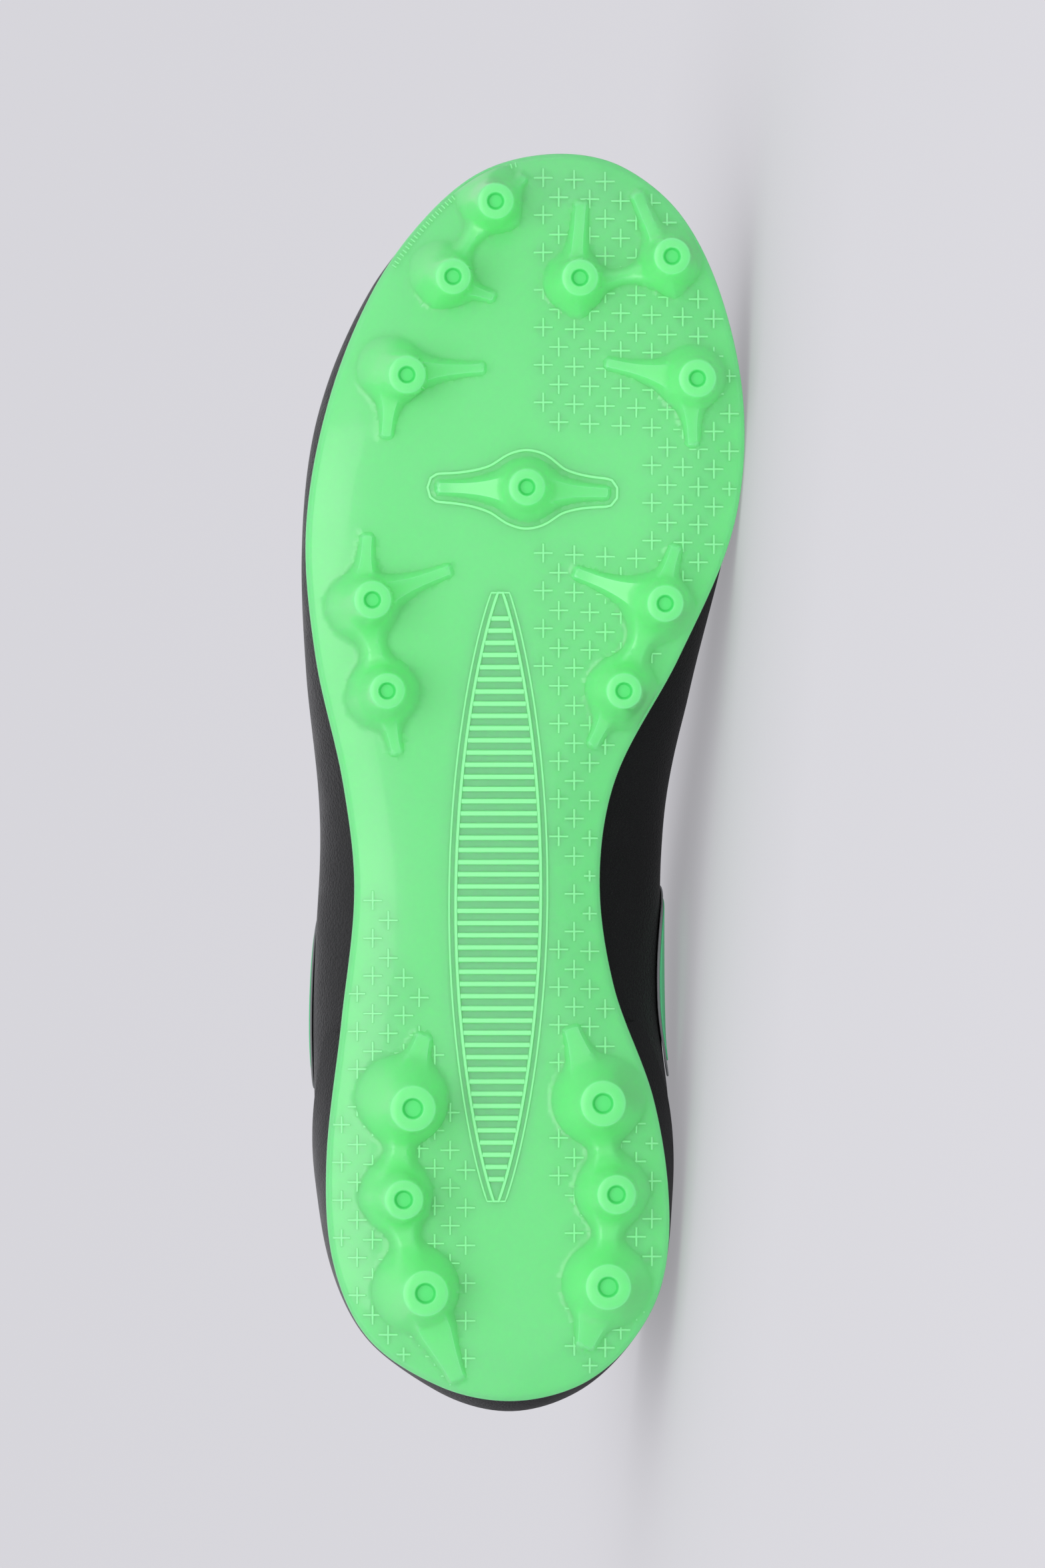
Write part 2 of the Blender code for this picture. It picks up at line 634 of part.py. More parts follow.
def skin_grid():
    """The upper's outer surface as close-set points, with their outward normals."""
    points = np.array([rib_points(k / SKIN_TURNS, SKIN_ROWS) for k in range(SKIN_TURNS)])
    around = np.roll(points, -1, 0) - np.roll(points, 1, 0)
    up = np.gradient(points, axis=1)
    normals = np.cross(around, up)
    normals /= np.linalg.norm(normals, axis=2)[..., None]
    middle = points.mean((0, 1))
    if ((points - middle) * normals).sum(2).mean() < 0:
        normals = -normals
    return points, normals


SKIN, SKIN_OUT = skin_grid()


def skin_point(turn, up, offset=0.0):
    """A point on the upper's outer surface, or offset outwards from it."""
    place = (turn % 1.0) * SKIN_TURNS
    row = np.clip(up, 0, 1) * (SKIN_ROWS - 1)
    k, r = int(place), min(int(row), SKIN_ROWS - 2)
    a, b = place - k, row - r
    k, after = k % SKIN_TURNS, (k + 1) % SKIN_TURNS
    found = []
    for grid in (SKIN, SKIN_OUT):
        low = grid[k, r] * (1 - a) + grid[after, r] * a
        high = grid[k, r + 1] * (1 - a) + grid[after, r + 1] * a
        found.append(low * (1 - b) + high * b)
    point, normal = found
    return Vector(point + normal / np.linalg.norm(normal) * offset)


def upper_rows():
    return np.linspace(0, 1, UPPER_ROWS)


def build_upper():
    """The upper: one hollow wall round the last, open underneath and along the collar and throat."""
    mesh = bmesh.new()
    turns = np.arange(2 * SIDE_STEPS) / (2 * SIDE_STEPS)
    outer = [[mesh.verts.new(skin_point(turn, up)) for turn in turns] for up in upper_rows()]
    inner = [[mesh.verts.new(skin_point(turn, up, -WALL)) for turn in turns] for up in upper_rows()]
    for low, high in zip(outer, outer[1:]):
        join_loops(mesh, low, high)
    for low, high in zip(inner, inner[1:]):
        join_loops(mesh, low, high)
    for inside, outside in zip(inner[0], outer[0]):
        inside.co.z = outside.co.z
    join_loops(mesh, inner[0], outer[0])
    join_loops(mesh, outer[-1], inner[-1])
    upper = finish(mesh, "upper", BLACK)
    for number, (turn, _) in enumerate(eyelet_places()):
        drill_eyelet(upper, number, turn)
    return upper


def eyelet_places():
    """(turn, side) of every eyelet, from the throat's top to its toe end on the inner side, then the outer."""
    for side in (1, -1):
        for along in EYELETS_ALONG:
            yield side_turn(along, side), side


def eyelet_frame(turn):
    """Centre and outward direction of an eyelet on the upper's surface."""
    centre = skin_point(turn, 1 - EYELET_DROP)
    return centre, (skin_point(turn, 1 - EYELET_DROP, WALL) - centre).normalized()


def drill_eyelet(target, number, turn):
    """Cuts one round eyelet hole through the wall."""
    centre, out = eyelet_frame(turn)
    reach = 3 * WALL + OVERLAY
    mesh = bmesh.new()
    bmesh.ops.create_cone(
        mesh, cap_ends=True, segments=8, radius1=EYELET_RADIUS, radius2=EYELET_RADIUS, depth=2 * reach
    )
    cutter = finish(mesh, f"{target.name}_drill_{number}", BLACK)
    cutter.matrix_world = Matrix.Translation(centre) @ out.to_track_quat("Z", "Y").to_matrix().to_4x4()
    cutter.hide_render = True
    cutter.display_type = "WIRE"
    cut = target.modifiers.new(f"eyelet_{number}", "BOOLEAN")
    cut.operation = "DIFFERENCE"
    cut.object = cutter


def build_overlay(name, places, thickness, paint, base=GAP, closed=False):
    """A patch of even thickness that lies on the upper. places is a grid of (turn, up) pairs."""
    mesh = bmesh.new()
    sheets = []
    for offset in (base, base + thickness):
        sheets.append([[mesh.verts.new(skin_point(turn, up, offset)) for turn, up in row] for row in places])
    under, over = sheets
    rows, columns = len(places), len(places[0])
    for r in range(rows - 1):
        for c in range(columns if closed else columns - 1):
            d = (c + 1) % columns
            two_triangles(mesh, over[r][c], over[r][d], over[r + 1][d], over[r + 1][c])
            two_triangles(mesh, under[r][c], under[r][d], under[r + 1][d], under[r + 1][c])
    rim = [(0, c) for c in range(columns)] + [(r, columns - 1) for r in range(1, rows)]
    rim += [(rows - 1, c) for c in range(columns - 2, -1, -1)] + [(r, 0) for r in range(rows - 2, 0, -1)]
    for (r, c), (q, d) in zip(rim, rim[1:] + rim[:1]):
        mesh.faces.new((under[r][c], under[q][d], over[q][d], over[r][c]))
    return finish(mesh, name, paint)


def side_turn(along, side):
    """The turn of a place along the inner (side 1) or outer (side -1) side."""
    return along / 2 if side > 0 else 1 - along / 2


def build_eyestay():
    """The reinforcing band round the throat, with the eyelets through it."""
    turns = np.arange(EYESTAY_START, 2 * SIDE_STEPS - EYESTAY_START + 1) / (2 * SIDE_STEPS)
    places = [[(turn, up) for turn in turns] for up in upper_rows()[-EYESTAY_ROWS:]]
    eyestay = build_overlay("eyestay", places, OVERLAY, BLACK)
    for number, (turn, _) in enumerate(eyelet_places()):
        drill_eyelet(eyestay, number, turn)
    return eyestay


def build_heel_counter():
    """The stiff cup round the back of the heel."""
    edge = curve_through(COUNTER_EDGE)
    places = []
    for share in np.linspace(0, 1, COUNTER_ROWS):
        row = []
        for step in range(-COUNTER_STEPS, COUNTER_STEPS + 1):
            top = float(edge(abs(step) / SIDE_STEPS))
            row.append((step / (2 * SIDE_STEPS) % 1.0, COUNTER_FOOT + (top - COUNTER_FOOT) * share))
        places.append(row)
    return build_overlay("heel_counter", places, COUNTER_OVERLAY, BLACK)


def build_side_panel(name, side):
    """A plain oval trim panel on one side of the quarter."""
    along, up = PANEL_CENTRE
    ends = np.array([-0.97, -0.82, 0.82, 0.97])
    inside = np.arange(SIDE_STEPS) / SIDE_STEPS - along
    inside = inside[np.abs(inside) < 0.78 * PANEL_HALF_LENGTH]
    shifts = np.sort(np.concatenate([ends * PANEL_HALF_LENGTH, inside]))
    places = []
    for level in np.linspace(-1, 1, 6):
        row = []
        for shift in shifts:
            height = PANEL_HALF_HEIGHT * (1 - abs(shift / PANEL_HALF_LENGTH) ** 2.4) ** (1 / 2.4)
            row.append((side_turn(along + shift, side), up + PANEL_LEAN * shift + level * height))
        places.append(row)
    return build_overlay(name, places, PANEL_OVERLAY, GREEN)


def build_collar_lining():
    """The padded lining inside the collar, from one throat corner round the heel to the other."""
    rows = 5
    turns = np.arange(-PADDING_STEPS, PADDING_STEPS + 1) / (2 * SIDE_STEPS)
    columns = len(turns)
    mesh = bmesh.new()
    against, foot_side = [], []
    for share in np.linspace(0, 1, rows):
        up = PADDING_FOOT + (PADDING_TOP - PADDING_FOOT) * share
        swell = math.sin(math.pi * (0.12 + 0.80 * share)) ** 0.7
        line, inner_line = [], []
        for turn in turns:
            fade = smooth_step(turns[-1] - abs(turn), 0, 0.05)
            depth = WALL + GAP + 0.0009 + COLLAR_PADDING * swell * (0.25 + 0.75 * fade)
            line.append(mesh.verts.new(skin_point(turn, up, -WALL - GAP)))
            inner_line.append(mesh.verts.new(skin_point(turn, up, -depth)))
        against.append(line)
        foot_side.append(inner_line)
    for r in range(rows - 1):
        for c in range(columns - 1):
            for sheet in (against, foot_side):
                two_triangles(mesh, sheet[r][c], sheet[r][c + 1], sheet[r + 1][c + 1], sheet[r + 1][c])
    for c in range(columns - 1):
        for r in (0, rows - 1):
            mesh.faces.new((against[r][c], against[r][c + 1], foot_side[r][c + 1], foot_side[r][c]))
    for r in range(rows - 1):
        for c in (0, columns - 1):
            mesh.faces.new((against[r][c], against[r + 1][c], foot_side[r + 1][c], foot_side[r][c]))
    return finish(mesh, "collar_lining", BLACK_CLOTH)


def tongue_sections():
    """The tongue's top face: rows of points from one edge over the crown to the other, from the toe end up, and
    the three points where its toe end closes under the throat's front."""
    under = -(WALL + TONGUE_CLEARANCE)
    rows = upper_rows()[-TONGUE_ROWS:]
    front = [skin_point(0.5, up, under) for up in rows]
    sections = []
    for step in range(TONGUE_STEPS[0], TONGUE_STEPS[1] - 1, -1):
        inner, outer = (
            [skin_point(side_turn(step / SIDE_STEPS, side), up, under) for up in rows] for side in (1, -1)
        )
        arch = []
        for s in (0.25, 0.5, 0.75):
            point = inner[-1] * (1 - s) + outer[-1] * s
            point.z += TONGUE_CROWN * (inner[-1] - outer[-1]).length * 4 * s * (1 - s)
            arch.append(point)
        sections.append(inner + arch + outer[::-1])
    last, before = sections[-1], sections[-3]
    middle = len(last) // 2
    heading = (last[middle] - before[middle]).normalized()
    rise = (last[0] - last[-1]).cross(heading).normalized()
    if rise.z < 0:
        rise = -rise
    for k in range(1, TONGUE_TOP_STEPS + 1):
        share = k / TONGUE_TOP_STEPS
        section = []
        for point in last:
            aside = point - last[middle]
            aside -= rise * aside.dot(rise) * TONGUE_FLATTENING * share**2
            section.append(last[middle] + heading * TONGUE_RISE * share + aside * (1 - TONGUE_NARROWING * share))
        sections.append(section)
    return front, sections


def build_tongue():
    """The padded tongue under the laces."""
    mesh = bmesh.new()
    front, sections = tongue_sections()
    tip = [mesh.verts.new(point) for point in front]
    lines = [[mesh.verts.new(point) for point in section] for section in sections]
    first, columns = lines[0], len(lines[0])
    for side in (first, first[::-1]):
        for low, high, near, far in zip(side, side[1:TONGUE_ROWS], tip, tip[1:]):
            mesh.faces.new((low, high, far, near))
    for a, b in zip(first[TONGUE_ROWS - 1:-TONGUE_ROWS], first[TONGUE_ROWS:]):
        mesh.faces.new((a, b, tip[-1]))
    for low, high in zip(lines, lines[1:]):
        for c in range(columns - 1):
            mesh.faces.new((low[c], low[c + 1], high[c + 1], high[c]))
    bmesh.ops.recalc_face_normals(mesh, faces=mesh.faces)
    mesh.normal_update()
    upwards = 1 if lines[-1][columns // 2].normal.z > 0 else -1
    outline = {v for edge in mesh.edges if edge.is_boundary for v in edge.verts}
    under = {}
    for vert in list(mesh.verts):
        thick = TONGUE_THICKNESS * (0.45 if vert in outline else 1.0)
        under[vert] = mesh.verts.new(vert.co - vert.normal * upwards * thick)
    rim = [edge.verts[:] for edge in mesh.edges if edge.is_boundary]
    for face in list(mesh.faces):
        mesh.faces.new([under[v] for v in reversed(face.verts)])
    for a, b in rim:
        mesh.faces.new((a, b, under[b], under[a]))
    return finish(mesh, "tongue", BLACK_CLOTH)


def build_insole():
    """The sock liner that lies in the sole's foot bed."""
    mesh = bmesh.new()
    loop = inset_loop(BED_RIM)
    low = plate_top(loop[:, 0], BED_RIM) + GAP
    lifts = (GAP, GAP + INSOLE_THICKNESS)
    bottom, top = (
        add_plan(mesh, bed_points(Plan(loop, low - GAP + lift), lift, 1), upwards=lift > GAP) for lift in lifts
    )
    join_loops(mesh, bottom, top)
    return finish(mesh, "insole", BLACK_CLOTH)


def lace_path(first, second, lift):
    """Close-set points of a lace from one eyelet over the throat's edges to the other, with outward directions.
    first and second are (share along the side, side), on opposite sides."""
    clear = OVERLAY + LACE_CLEARANCE + LACE_THICKNESS * 0.54 + lift
    points, outs = [], []
    for (along, side), (far_along, _) in ((first, second), (second, first)):
        stops = ((along, 1 - EYELET_DROP * 1.5), (along, 1 - EYELET_DROP * 0.5), (0.85 * along + 0.15 * far_along, 1.0))
        ends = []
        for a, up in stops:
            turn = side_turn(a, side)
            point = skin_point(turn, up, clear)
            ends.append((point, (point - skin_point(turn, up)).normalized()))
        points.append([e[0] for e in ends])
        outs.append([e[1] for e in ends])
    rim, far_rim = points[0][-1], points[1][-1]
    over = (outs[0][-1] + outs[1][-1]).normalized()
    middle = (rim + far_rim) / 2 + over * (LACE_CROWN * (rim - far_rim).length + LACE_THICKNESS)
    stations = points[0] + [middle] + points[1][::-1]
    directions = outs[0] + [over] + outs[1][::-1]
    run = [0.0]
    for a, b in zip(stations, stations[1:]):
        run.append(run[-1] + (b - a).length)
    path, path_out = [], []
    places = np.linspace(0, run[-1], LACE_STEPS)
    for values, found in ((stations, path), (directions, path_out)):
        curves = [curve_through([(place, value[k]) for place, value in zip(run, values)]) for k in range(3)]
        found += [Vector([float(curve(place)) for curve in curves]) for place in places]
    return path, path_out


def lace_bar(path, outs):
    """One flat length of lace along a path."""
    mesh = bmesh.new()
    rings = []
    for k, (point, out) in enumerate(zip(path, outs)):
        run = (path[min(k + 1, len(path) - 1)] - path[max(k - 1, 0)]).normalized()
        side = run.cross(out).normalized()
        up = side.cross(run).normalized()
        ring = []
        for angle in np.arange(LACE_SIDES) * 2 * math.pi / LACE_SIDES:
            shift = side * math.cos(angle) * LACE_WIDTH / 2 + up * math.sin(angle) * LACE_THICKNESS * 0.58
            ring.append(mesh.verts.new(point + shift))
        rings.append(ring)
    for low, high in zip(rings, rings[1:]):
        join_loops(mesh, low, high)
    mesh.faces.new(rings[0])
    mesh.faces.new(rings[-1])
    return mesh


def build_laces():
    """The crossings of the lace over the tongue, joined where they cross and at the eyelets."""
    front = EYELETS_ALONG[-1]
    bars = [((front, 1), (front, -1), 0.0)]
    for near, far in zip(EYELETS_ALONG[1:], EYELETS_ALONG):
        bars += [((near, 1), (far, -1), 0.0), ((far, 1), (near, -1), 0.0005)]
    laces = None
    for number, (first, second, lift) in enumerate(bars):
        bar = finish(lace_bar(*lace_path(first, second, lift)), f"lace_bar_{number}", BLACK_CLOTH)
        if laces is None:
            laces = bar
            laces.name = "laces"
            continue
        bar.hide_render = True
        bar.display_type = "WIRE"
        union = laces.modifiers.new(bar.name, "BOOLEAN")
        union.operation = "UNION"
        union.object = bar
    return laces


def lay_on_inner_side(pieces):
    """The matrix that lays the shoe on its inner side, on the hull face that brings its centre lowest."""
    graph = bpy.context.evaluated_depsgraph_get()
    hull = bmesh.new()
    weight, moment = 0.0, Vector()
    for piece in pieces:
        evaluated = piece.evaluated_get(graph)
        shape = bmesh.new()
        shape.from_mesh(evaluated.to_mesh())
        for vert in shape.verts:
            hull.verts.new(vert.co)
        bmesh.ops.triangulate(shape, faces=shape.faces)
        for face in shape.faces:
            a, b, c = (v.co for v in face.verts)
            share = a.dot(b.cross(c)) / 6
            weight += share
            moment += (a + b + c) / 4 * share
        shape.free()
    centre = moment / weight
    bmesh.ops.convex_hull(hull, input=hull.verts)
    inner_faces = [f for f in hull.faces if f.normal.y > 0.8]
    face = min(inner_faces, key=lambda f: (f.verts[0].co - centre).dot(f.normal))
    down = face.normal.copy()
    hull.free()
    forward = (Vector((1, 0, 0)) - down * down.x).normalized()
    back = (-down).cross(forward)
    turn = Matrix((forward, back, -down)).to_4x4()
    points = [turn @ v.co for piece in pieces for v in piece.evaluated_get(graph).data.vertices]
    low = Vector(min(p[k] for p in points) for k in range(3))
    high = Vector(max(p[k] for p in points) for k in range(3))
    middle = (low + high) / 2
    return Matrix.Translation((-middle.x, -middle.y, -low.z)) @ turn


def main():
    for old in list(bpy.data.objects):
        bpy.data.objects.remove(old)
    pieces = [
        build_outsole(),
        build_insole(),
        build_upper(),
        build_heel_counter(),
        build_eyestay(),
        build_collar_lining(),
        build_tongue(),
        build_laces(),
        build_side_panel("side_panel_inner", 1),
        build_side_panel("side_panel_outer", -1),
    ]
    shoe = bpy.data.objects.new("cleat", None)
    bpy.context.scene.collection.objects.link(shoe)
    bpy.context.view_layer.update()
    lying = lay_on_inner_side(pieces)
    for made in bpy.data.objects:
        if made is not shoe:
            made.parent = shoe
    shoe.matrix_world = lying


main()
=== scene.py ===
"""Dresses the soccer cleat: a moulded green sole with its studs under a black leather upper.

Pieces are shaped in the shoe's own axes, X from heel to toe, Y to the inner side, Z up from the stud tips.
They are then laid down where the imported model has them, on the shoe's inner side.
"""

import json
import math

import bpy
import numpy as np
from mathutils import Matrix, Vector
from mathutils.geometry import delaunay_2d_cdt


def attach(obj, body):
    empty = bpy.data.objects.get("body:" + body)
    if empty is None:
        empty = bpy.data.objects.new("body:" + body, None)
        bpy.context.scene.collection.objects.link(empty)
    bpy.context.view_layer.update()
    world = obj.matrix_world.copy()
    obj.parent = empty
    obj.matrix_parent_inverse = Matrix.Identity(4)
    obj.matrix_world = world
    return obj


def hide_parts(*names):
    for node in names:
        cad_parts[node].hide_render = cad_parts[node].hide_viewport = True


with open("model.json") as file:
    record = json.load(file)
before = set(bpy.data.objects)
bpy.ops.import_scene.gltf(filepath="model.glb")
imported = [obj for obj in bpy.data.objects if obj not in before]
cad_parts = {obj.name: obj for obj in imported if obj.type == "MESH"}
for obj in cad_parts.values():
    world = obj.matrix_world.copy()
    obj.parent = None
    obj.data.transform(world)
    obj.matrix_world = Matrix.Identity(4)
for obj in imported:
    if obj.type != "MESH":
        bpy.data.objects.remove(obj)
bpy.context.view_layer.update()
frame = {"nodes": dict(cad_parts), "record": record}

MM = 0.001

# The part's own sizes, in metres
SHOE_LENGTH = 0.285
BALL_WIDTH = 0.098
INSTEP_HEIGHT = 0.094
GAP = 0.0003
STUD_HEIGHT = 0.0115
ARCH_LIFT = 0.0070
TOE_SPRING = 0.0170
HEEL_UPTURN = 0.0030
PLATE_THICKNESS = 0.0058
BED_DEPTH = 0.0022
BED_SLOPE = 0.0040
EDGE_RISE = 0.0028
EDGE_REACH = 0.0150
EDGE_SWEEP = 0.0200
EDGE_ROUND = 0.0009
STUD_DRAFT = math.tan(math.radians(11))
STUD_FLARE = 0.0009
WIDE_STUD_FLARE = 0.0023
WIDE_STUD_TIP = 0.43
STUD_FLARE_HEIGHT = 0.0044
WIDE_FLARE_HEIGHT = 0.0105
FOOT_SLOPE = 1.7
RECESS_DEPTH = 0.0016
RECESS_DRAFT = 0.0002
WING_ROOT_HEIGHT = 0.0062
WING_END_HEIGHT = 0.0013
WING_SPREAD = 0.0045
WING_MOST_HALF = 0.0034
BRIDGE_MIDDLE_HEIGHT = 0.0028
BRIDGE_SPREAD = 0.0075
THIN_BRIDGE_HALF = 0.0008
THIN_BRIDGE_HEIGHT = 0.0019
THIN_BRIDGE_SPREAD = 0.0040
WING_SIDE_SLOPE = 2.1
BRIDGE_SIDE_SLOPE = 1.7
WING_CORNER = 0.0006
WING_EDGE = 0.00015
BRIDGE_EDGE = 0.0005
WEB = 0.0030
BRIDGE_WEB = 0.0044
THIN_BRIDGE_WEB = 0.0022
FOOT_BLEND = 0.0005
WALL = 0.0018
FEATHER_INSET = 0.0016
OVERLAY = 0.0010
COUNTER_OVERLAY = 0.0012
EYELET_RADIUS = 0.0022
LACE_WIDTH = 0.0062
LACE_THICKNESS = 0.0016
LACE_CLEARANCE = 0.0011
LACE_CROWN = 0.10
SIDE_STEPS = 28
UPPER_ROWS = 12

SOLE_OUTLINE = (
    (0.0105, -0.030), (0.022, 0.125), (0.052, 0.238), (0.100, 0.318), (0.165, 0.338), (0.250, 0.302),
    (0.340, 0.210), (0.425, 0.178), (0.505, 0.216), (0.600, 0.361), (0.700, 0.484), (0.790, 0.511),
    (0.880, 0.464), (0.950, 0.368), (0.990, 0.228),
    (1.000, 0.078), (0.987, -0.088), (0.950, -0.222), (0.890, -0.346), (0.800, -0.449), (0.700, -0.499),
    (0.600, -0.477), (0.500, -0.414), (0.415, -0.388), (0.310, -0.418), (0.200, -0.452), (0.120, -0.436),
    (0.060, -0.355), (0.022, -0.190),
)
TOE_APEX_ROW = 15
SPINE = ((0.0, -0.036), (0.45, -0.042), (0.75, 0.012), (1.0, 0.100))
ARCH = ((0.0, 0.0), (0.16, 0.02), (0.30, 0.55), (0.42, 1.0), (0.54, 0.55), (0.68, 0.02), (1.0, 0.0))
TOE_BREAK = 0.70
HEEL_BREAK = 0.10
HEEL_CURVE = 2.6
FLARE_CURVE = 1.5
WING_FALL = 1.6
HALVINGS = 20
STUD_REACH = 16 * MM
RIDGE_REACH = 9 * MM
CURVE_STEPS = 14
POINTS_AT_ONCE = 4000

STUDS = (
    ("toe_outer", 0.961, -0.062, 0.10, 0.09, 0.355, 0.165),
    ("toe_outer_back", 0.901, -0.160, 0.06, 0.20, 0.350, 0.165),
    ("toe_inner_back", 0.900, 0.132, 0.16, 0.11, 0.360, 0.165),
    ("toe_inner", 0.917, 0.344, 0.18, 0.08, 0.360, 0.165),
    ("ball_outer_front", 0.823, -0.266, -0.04, 0.28, 0.370, 0.165),
    ("ball_inner_front", 0.820, 0.402, 0.03, 0.14, 0.370, 0.165),
    ("ball_centre", 0.734, 0.010, 0.04, 0.00, 0.360, 0.165),
    ("ball_outer", 0.645, -0.345, 0.05, 0.19, 0.370, 0.165),
    ("ball_inner", 0.642, 0.328, 0.00, 0.14, 0.360, 0.165),
    ("ball_outer_back", 0.573, -0.311, 0.03, 0.07, 0.350, 0.165),
    ("ball_inner_back", 0.573, 0.233, 0.00, 0.08, 0.350, 0.165),
    ("heel_outer_front", 0.243, -0.252, -0.12, 0.19, 0.450, 0.200),
    ("heel_inner_front", 0.247, 0.185, 0.00, 0.13, 0.450, 0.200),
    ("heel_outer", 0.171, -0.273, -0.05, 0.16, 0.385, 0.180),
    ("heel_inner", 0.175, 0.216, -0.04, 0.10, 0.385, 0.180),
    ("heel_outer_back", 0.097, -0.223, -0.09, 0.18, 0.450, 0.200),
    ("heel_inner_back", 0.102, 0.197, -0.05, 0.08, 0.450, 0.200),
)
WINGS = (
    ("toe_outer", 0.981, 0.003, 0.0007, 3.0), ("toe_outer_back", 0.885, -0.068, 0.0008, 3.0),
    ("toe_inner_back", 0.960, 0.135, 0.0011, 6.0), ("toe_inner", 0.968, 0.264, 0.0011, 6.0),
    ("ball_outer_front", 0.829, -0.090, 0.0009, 3.0), ("ball_outer_front", 0.775, -0.314, 0.0010, 3.0),
    ("ball_inner_front", 0.833, 0.194, 0.0009, 3.0), ("ball_inner_front", 0.768, 0.392, 0.0010, 3.0),
    ("ball_centre", 0.734, -0.195, 0.0010, 3.0), ("ball_centre", 0.730, 0.196, 0.0010, 3.0),
    ("ball_outer", 0.696, -0.357, 0.0010, 3.0), ("ball_outer", 0.669, -0.168, 0.0010, 3.0),
    ("ball_inner", 0.687, 0.353, 0.0010, 3.0), ("ball_inner", 0.667, 0.122, 0.0010, 3.0),
    ("ball_outer_back", 0.524, -0.290, 0.0010, 3.0), ("ball_inner_back", 0.530, 0.161, 0.0010, 3.0),
    ("heel_outer_front", 0.300, -0.227, 0.0015, 1.6), ("heel_inner_front", 0.306, 0.112, 0.0015, 1.6),
    ("heel_outer_back", 0.028, -0.150, 0.0015, 1.3), ("heel_inner_back", 0.054, 0.144, 0.0018, 1.3),
)
BRIDGES = (
    ("toe_outer", "toe_outer_back", 0.0006), ("toe_inner", "toe_inner_back", 0.0005),
    ("ball_outer", "ball_outer_back", 0.0012), ("ball_inner", "ball_inner_back", 0.0012),
    ("heel_outer_front", "heel_outer", 0.0016), ("heel_inner_front", "heel_inner", 0.0016),
    ("heel_outer", "heel_outer_back", 0.0016), ("heel_inner", "heel_inner_back", 0.0016),
)
RIB_COLUMNS = (
    "along", "edge_x", "edge_side", "edge_up", "belly_up", "inner_out", "outer_out", "brow_out", "brow_down",
)
RIBS = (
    (0.00, 0.036, 0.000, 0.800, 0.20, 0.085, 0.085, 0.020, 0.20),
    (0.09, 0.060, 0.215, 0.785, 0.20, 0.020, 0.030, 0.020, 0.20),
    (0.20, 0.130, 0.330, 0.715, 0.21, 0.030, 0.060, 0.025, 0.19),
    (0.31, 0.225, 0.350, 0.690, 0.23, 0.150, 0.165, 0.035, 0.17),
    (0.41, 0.310, 0.300, 0.800, 0.25, 0.275, 0.235, 0.060, 0.18),
    (0.49, 0.365, 0.215, 0.985, 0.26, 0.290, 0.200, 0.120, 0.17),
    (0.57, 0.425, 0.175, 0.955, 0.26, 0.170, 0.145, 0.170, 0.14),
    (0.66, 0.500, 0.155, 0.850, 0.26, 0.060, 0.110, 0.230, 0.12),
    (0.75, 0.570, 0.138, 0.760, 0.26, 0.010, 0.145, 0.290, 0.10),
    (0.84, 0.625, 0.110, 0.695, 0.25, 0.015, 0.125, 0.360, 0.09),
    (0.92, 0.652, 0.064, 0.662, 0.23, 0.045, 0.080, 0.410, 0.08),
    (1.00, 0.662, 0.000, 0.652, 0.22, 0.060, 0.060, 0.430, 0.08),
)
EYESTAY_START = 14
EYESTAY_ROWS = 3
EYELETS_ALONG = (0.520, 0.590, 0.665, 0.745, 0.830)
EYELET_DROP = 0.075
COUNTER_EDGE = ((0.0, 0.60), (0.08, 0.57), (0.17, 0.44), (0.26, 0.24), (0.34, 0.10))
COUNTER_STEPS = 9
COUNTER_FOOT = 0.015
PANEL_CENTRE = (0.385, 0.52)
PANEL_HALF_LENGTH = 0.085
PANEL_HALF_HEIGHT = 0.120
PANEL_LEAN = 0.55


def curve_through(points, level_ends=False):
    """A smooth function through (place, value) pairs. With level_ends its slope is zero at both ends."""
    places = np.array([p[0] for p in points], float)
    values = np.array([p[1] for p in points], float)
    secants = np.diff(values) / np.diff(places)
    slopes = np.empty_like(values)
    slopes[1:-1] = (values[2:] - values[:-2]) / (places[2:] - places[:-2])
    slopes[0], slopes[-1] = (0.0, 0.0) if level_ends else (secants[0], secants[-1])

    def at(place):
        place = np.clip(np.asarray(place, float), places[0], places[-1])
        k = np.clip(np.searchsorted(places, place, side="right") - 1, 0, len(places) - 2)
        step = places[k + 1] - places[k]
        u = (place - places[k]) / step
        return (
            (1 + 2 * u) * (1 - u) ** 2 * values[k]
            + u * (1 - u) ** 2 * step * slopes[k]
            + u * u * (3 - 2 * u) * values[k + 1]
            + u * u * (u - 1) * step * slopes[k + 1]
        )

    return at


def closed_curve(corners):
    """Close-set points on a smooth closed curve through the corners."""
    corners = np.array(corners, float)
    ahead, behind = np.roll(corners, -1, 0), np.roll(corners, 1, 0)
    span = np.linalg.norm(ahead - corners, axis=1)[:, None]
    tangents = (ahead - behind) / (span + np.roll(span, 1, 0))
    points = []
    for k in range(len(corners)):
        for u in np.arange(CURVE_STEPS) / CURVE_STEPS:
            following = (k + 1) % len(corners)
            points.append(
                (1 + 2 * u) * (1 - u) ** 2 * corners[k]
                + u * (1 - u) ** 2 * span[k] * tangents[k]
                + u * u * (3 - 2 * u) * corners[following]
                + u * u * (u - 1) * span[k] * tangents[following]
            )
    return np.array(points)


def run_along(points):
    """How far each point lies from the first, along the line through them."""
    return np.concatenate([[0], np.cumsum(np.linalg.norm(np.diff(points, axis=0), axis=1))])


def unit(vectors):
    """The directions of vectors, each of length 1."""
    return vectors / np.linalg.norm(vectors, axis=-1, keepdims=True)


def evenly(points, count):
    """count points at even distances along the line through points, ends included."""
    points = np.asarray(points, float)
    run = run_along(points)
    places = np.linspace(0, run[-1], count)
    return np.stack([np.interp(places, run, points[:, k]) for k in range(points.shape[1])], 1)


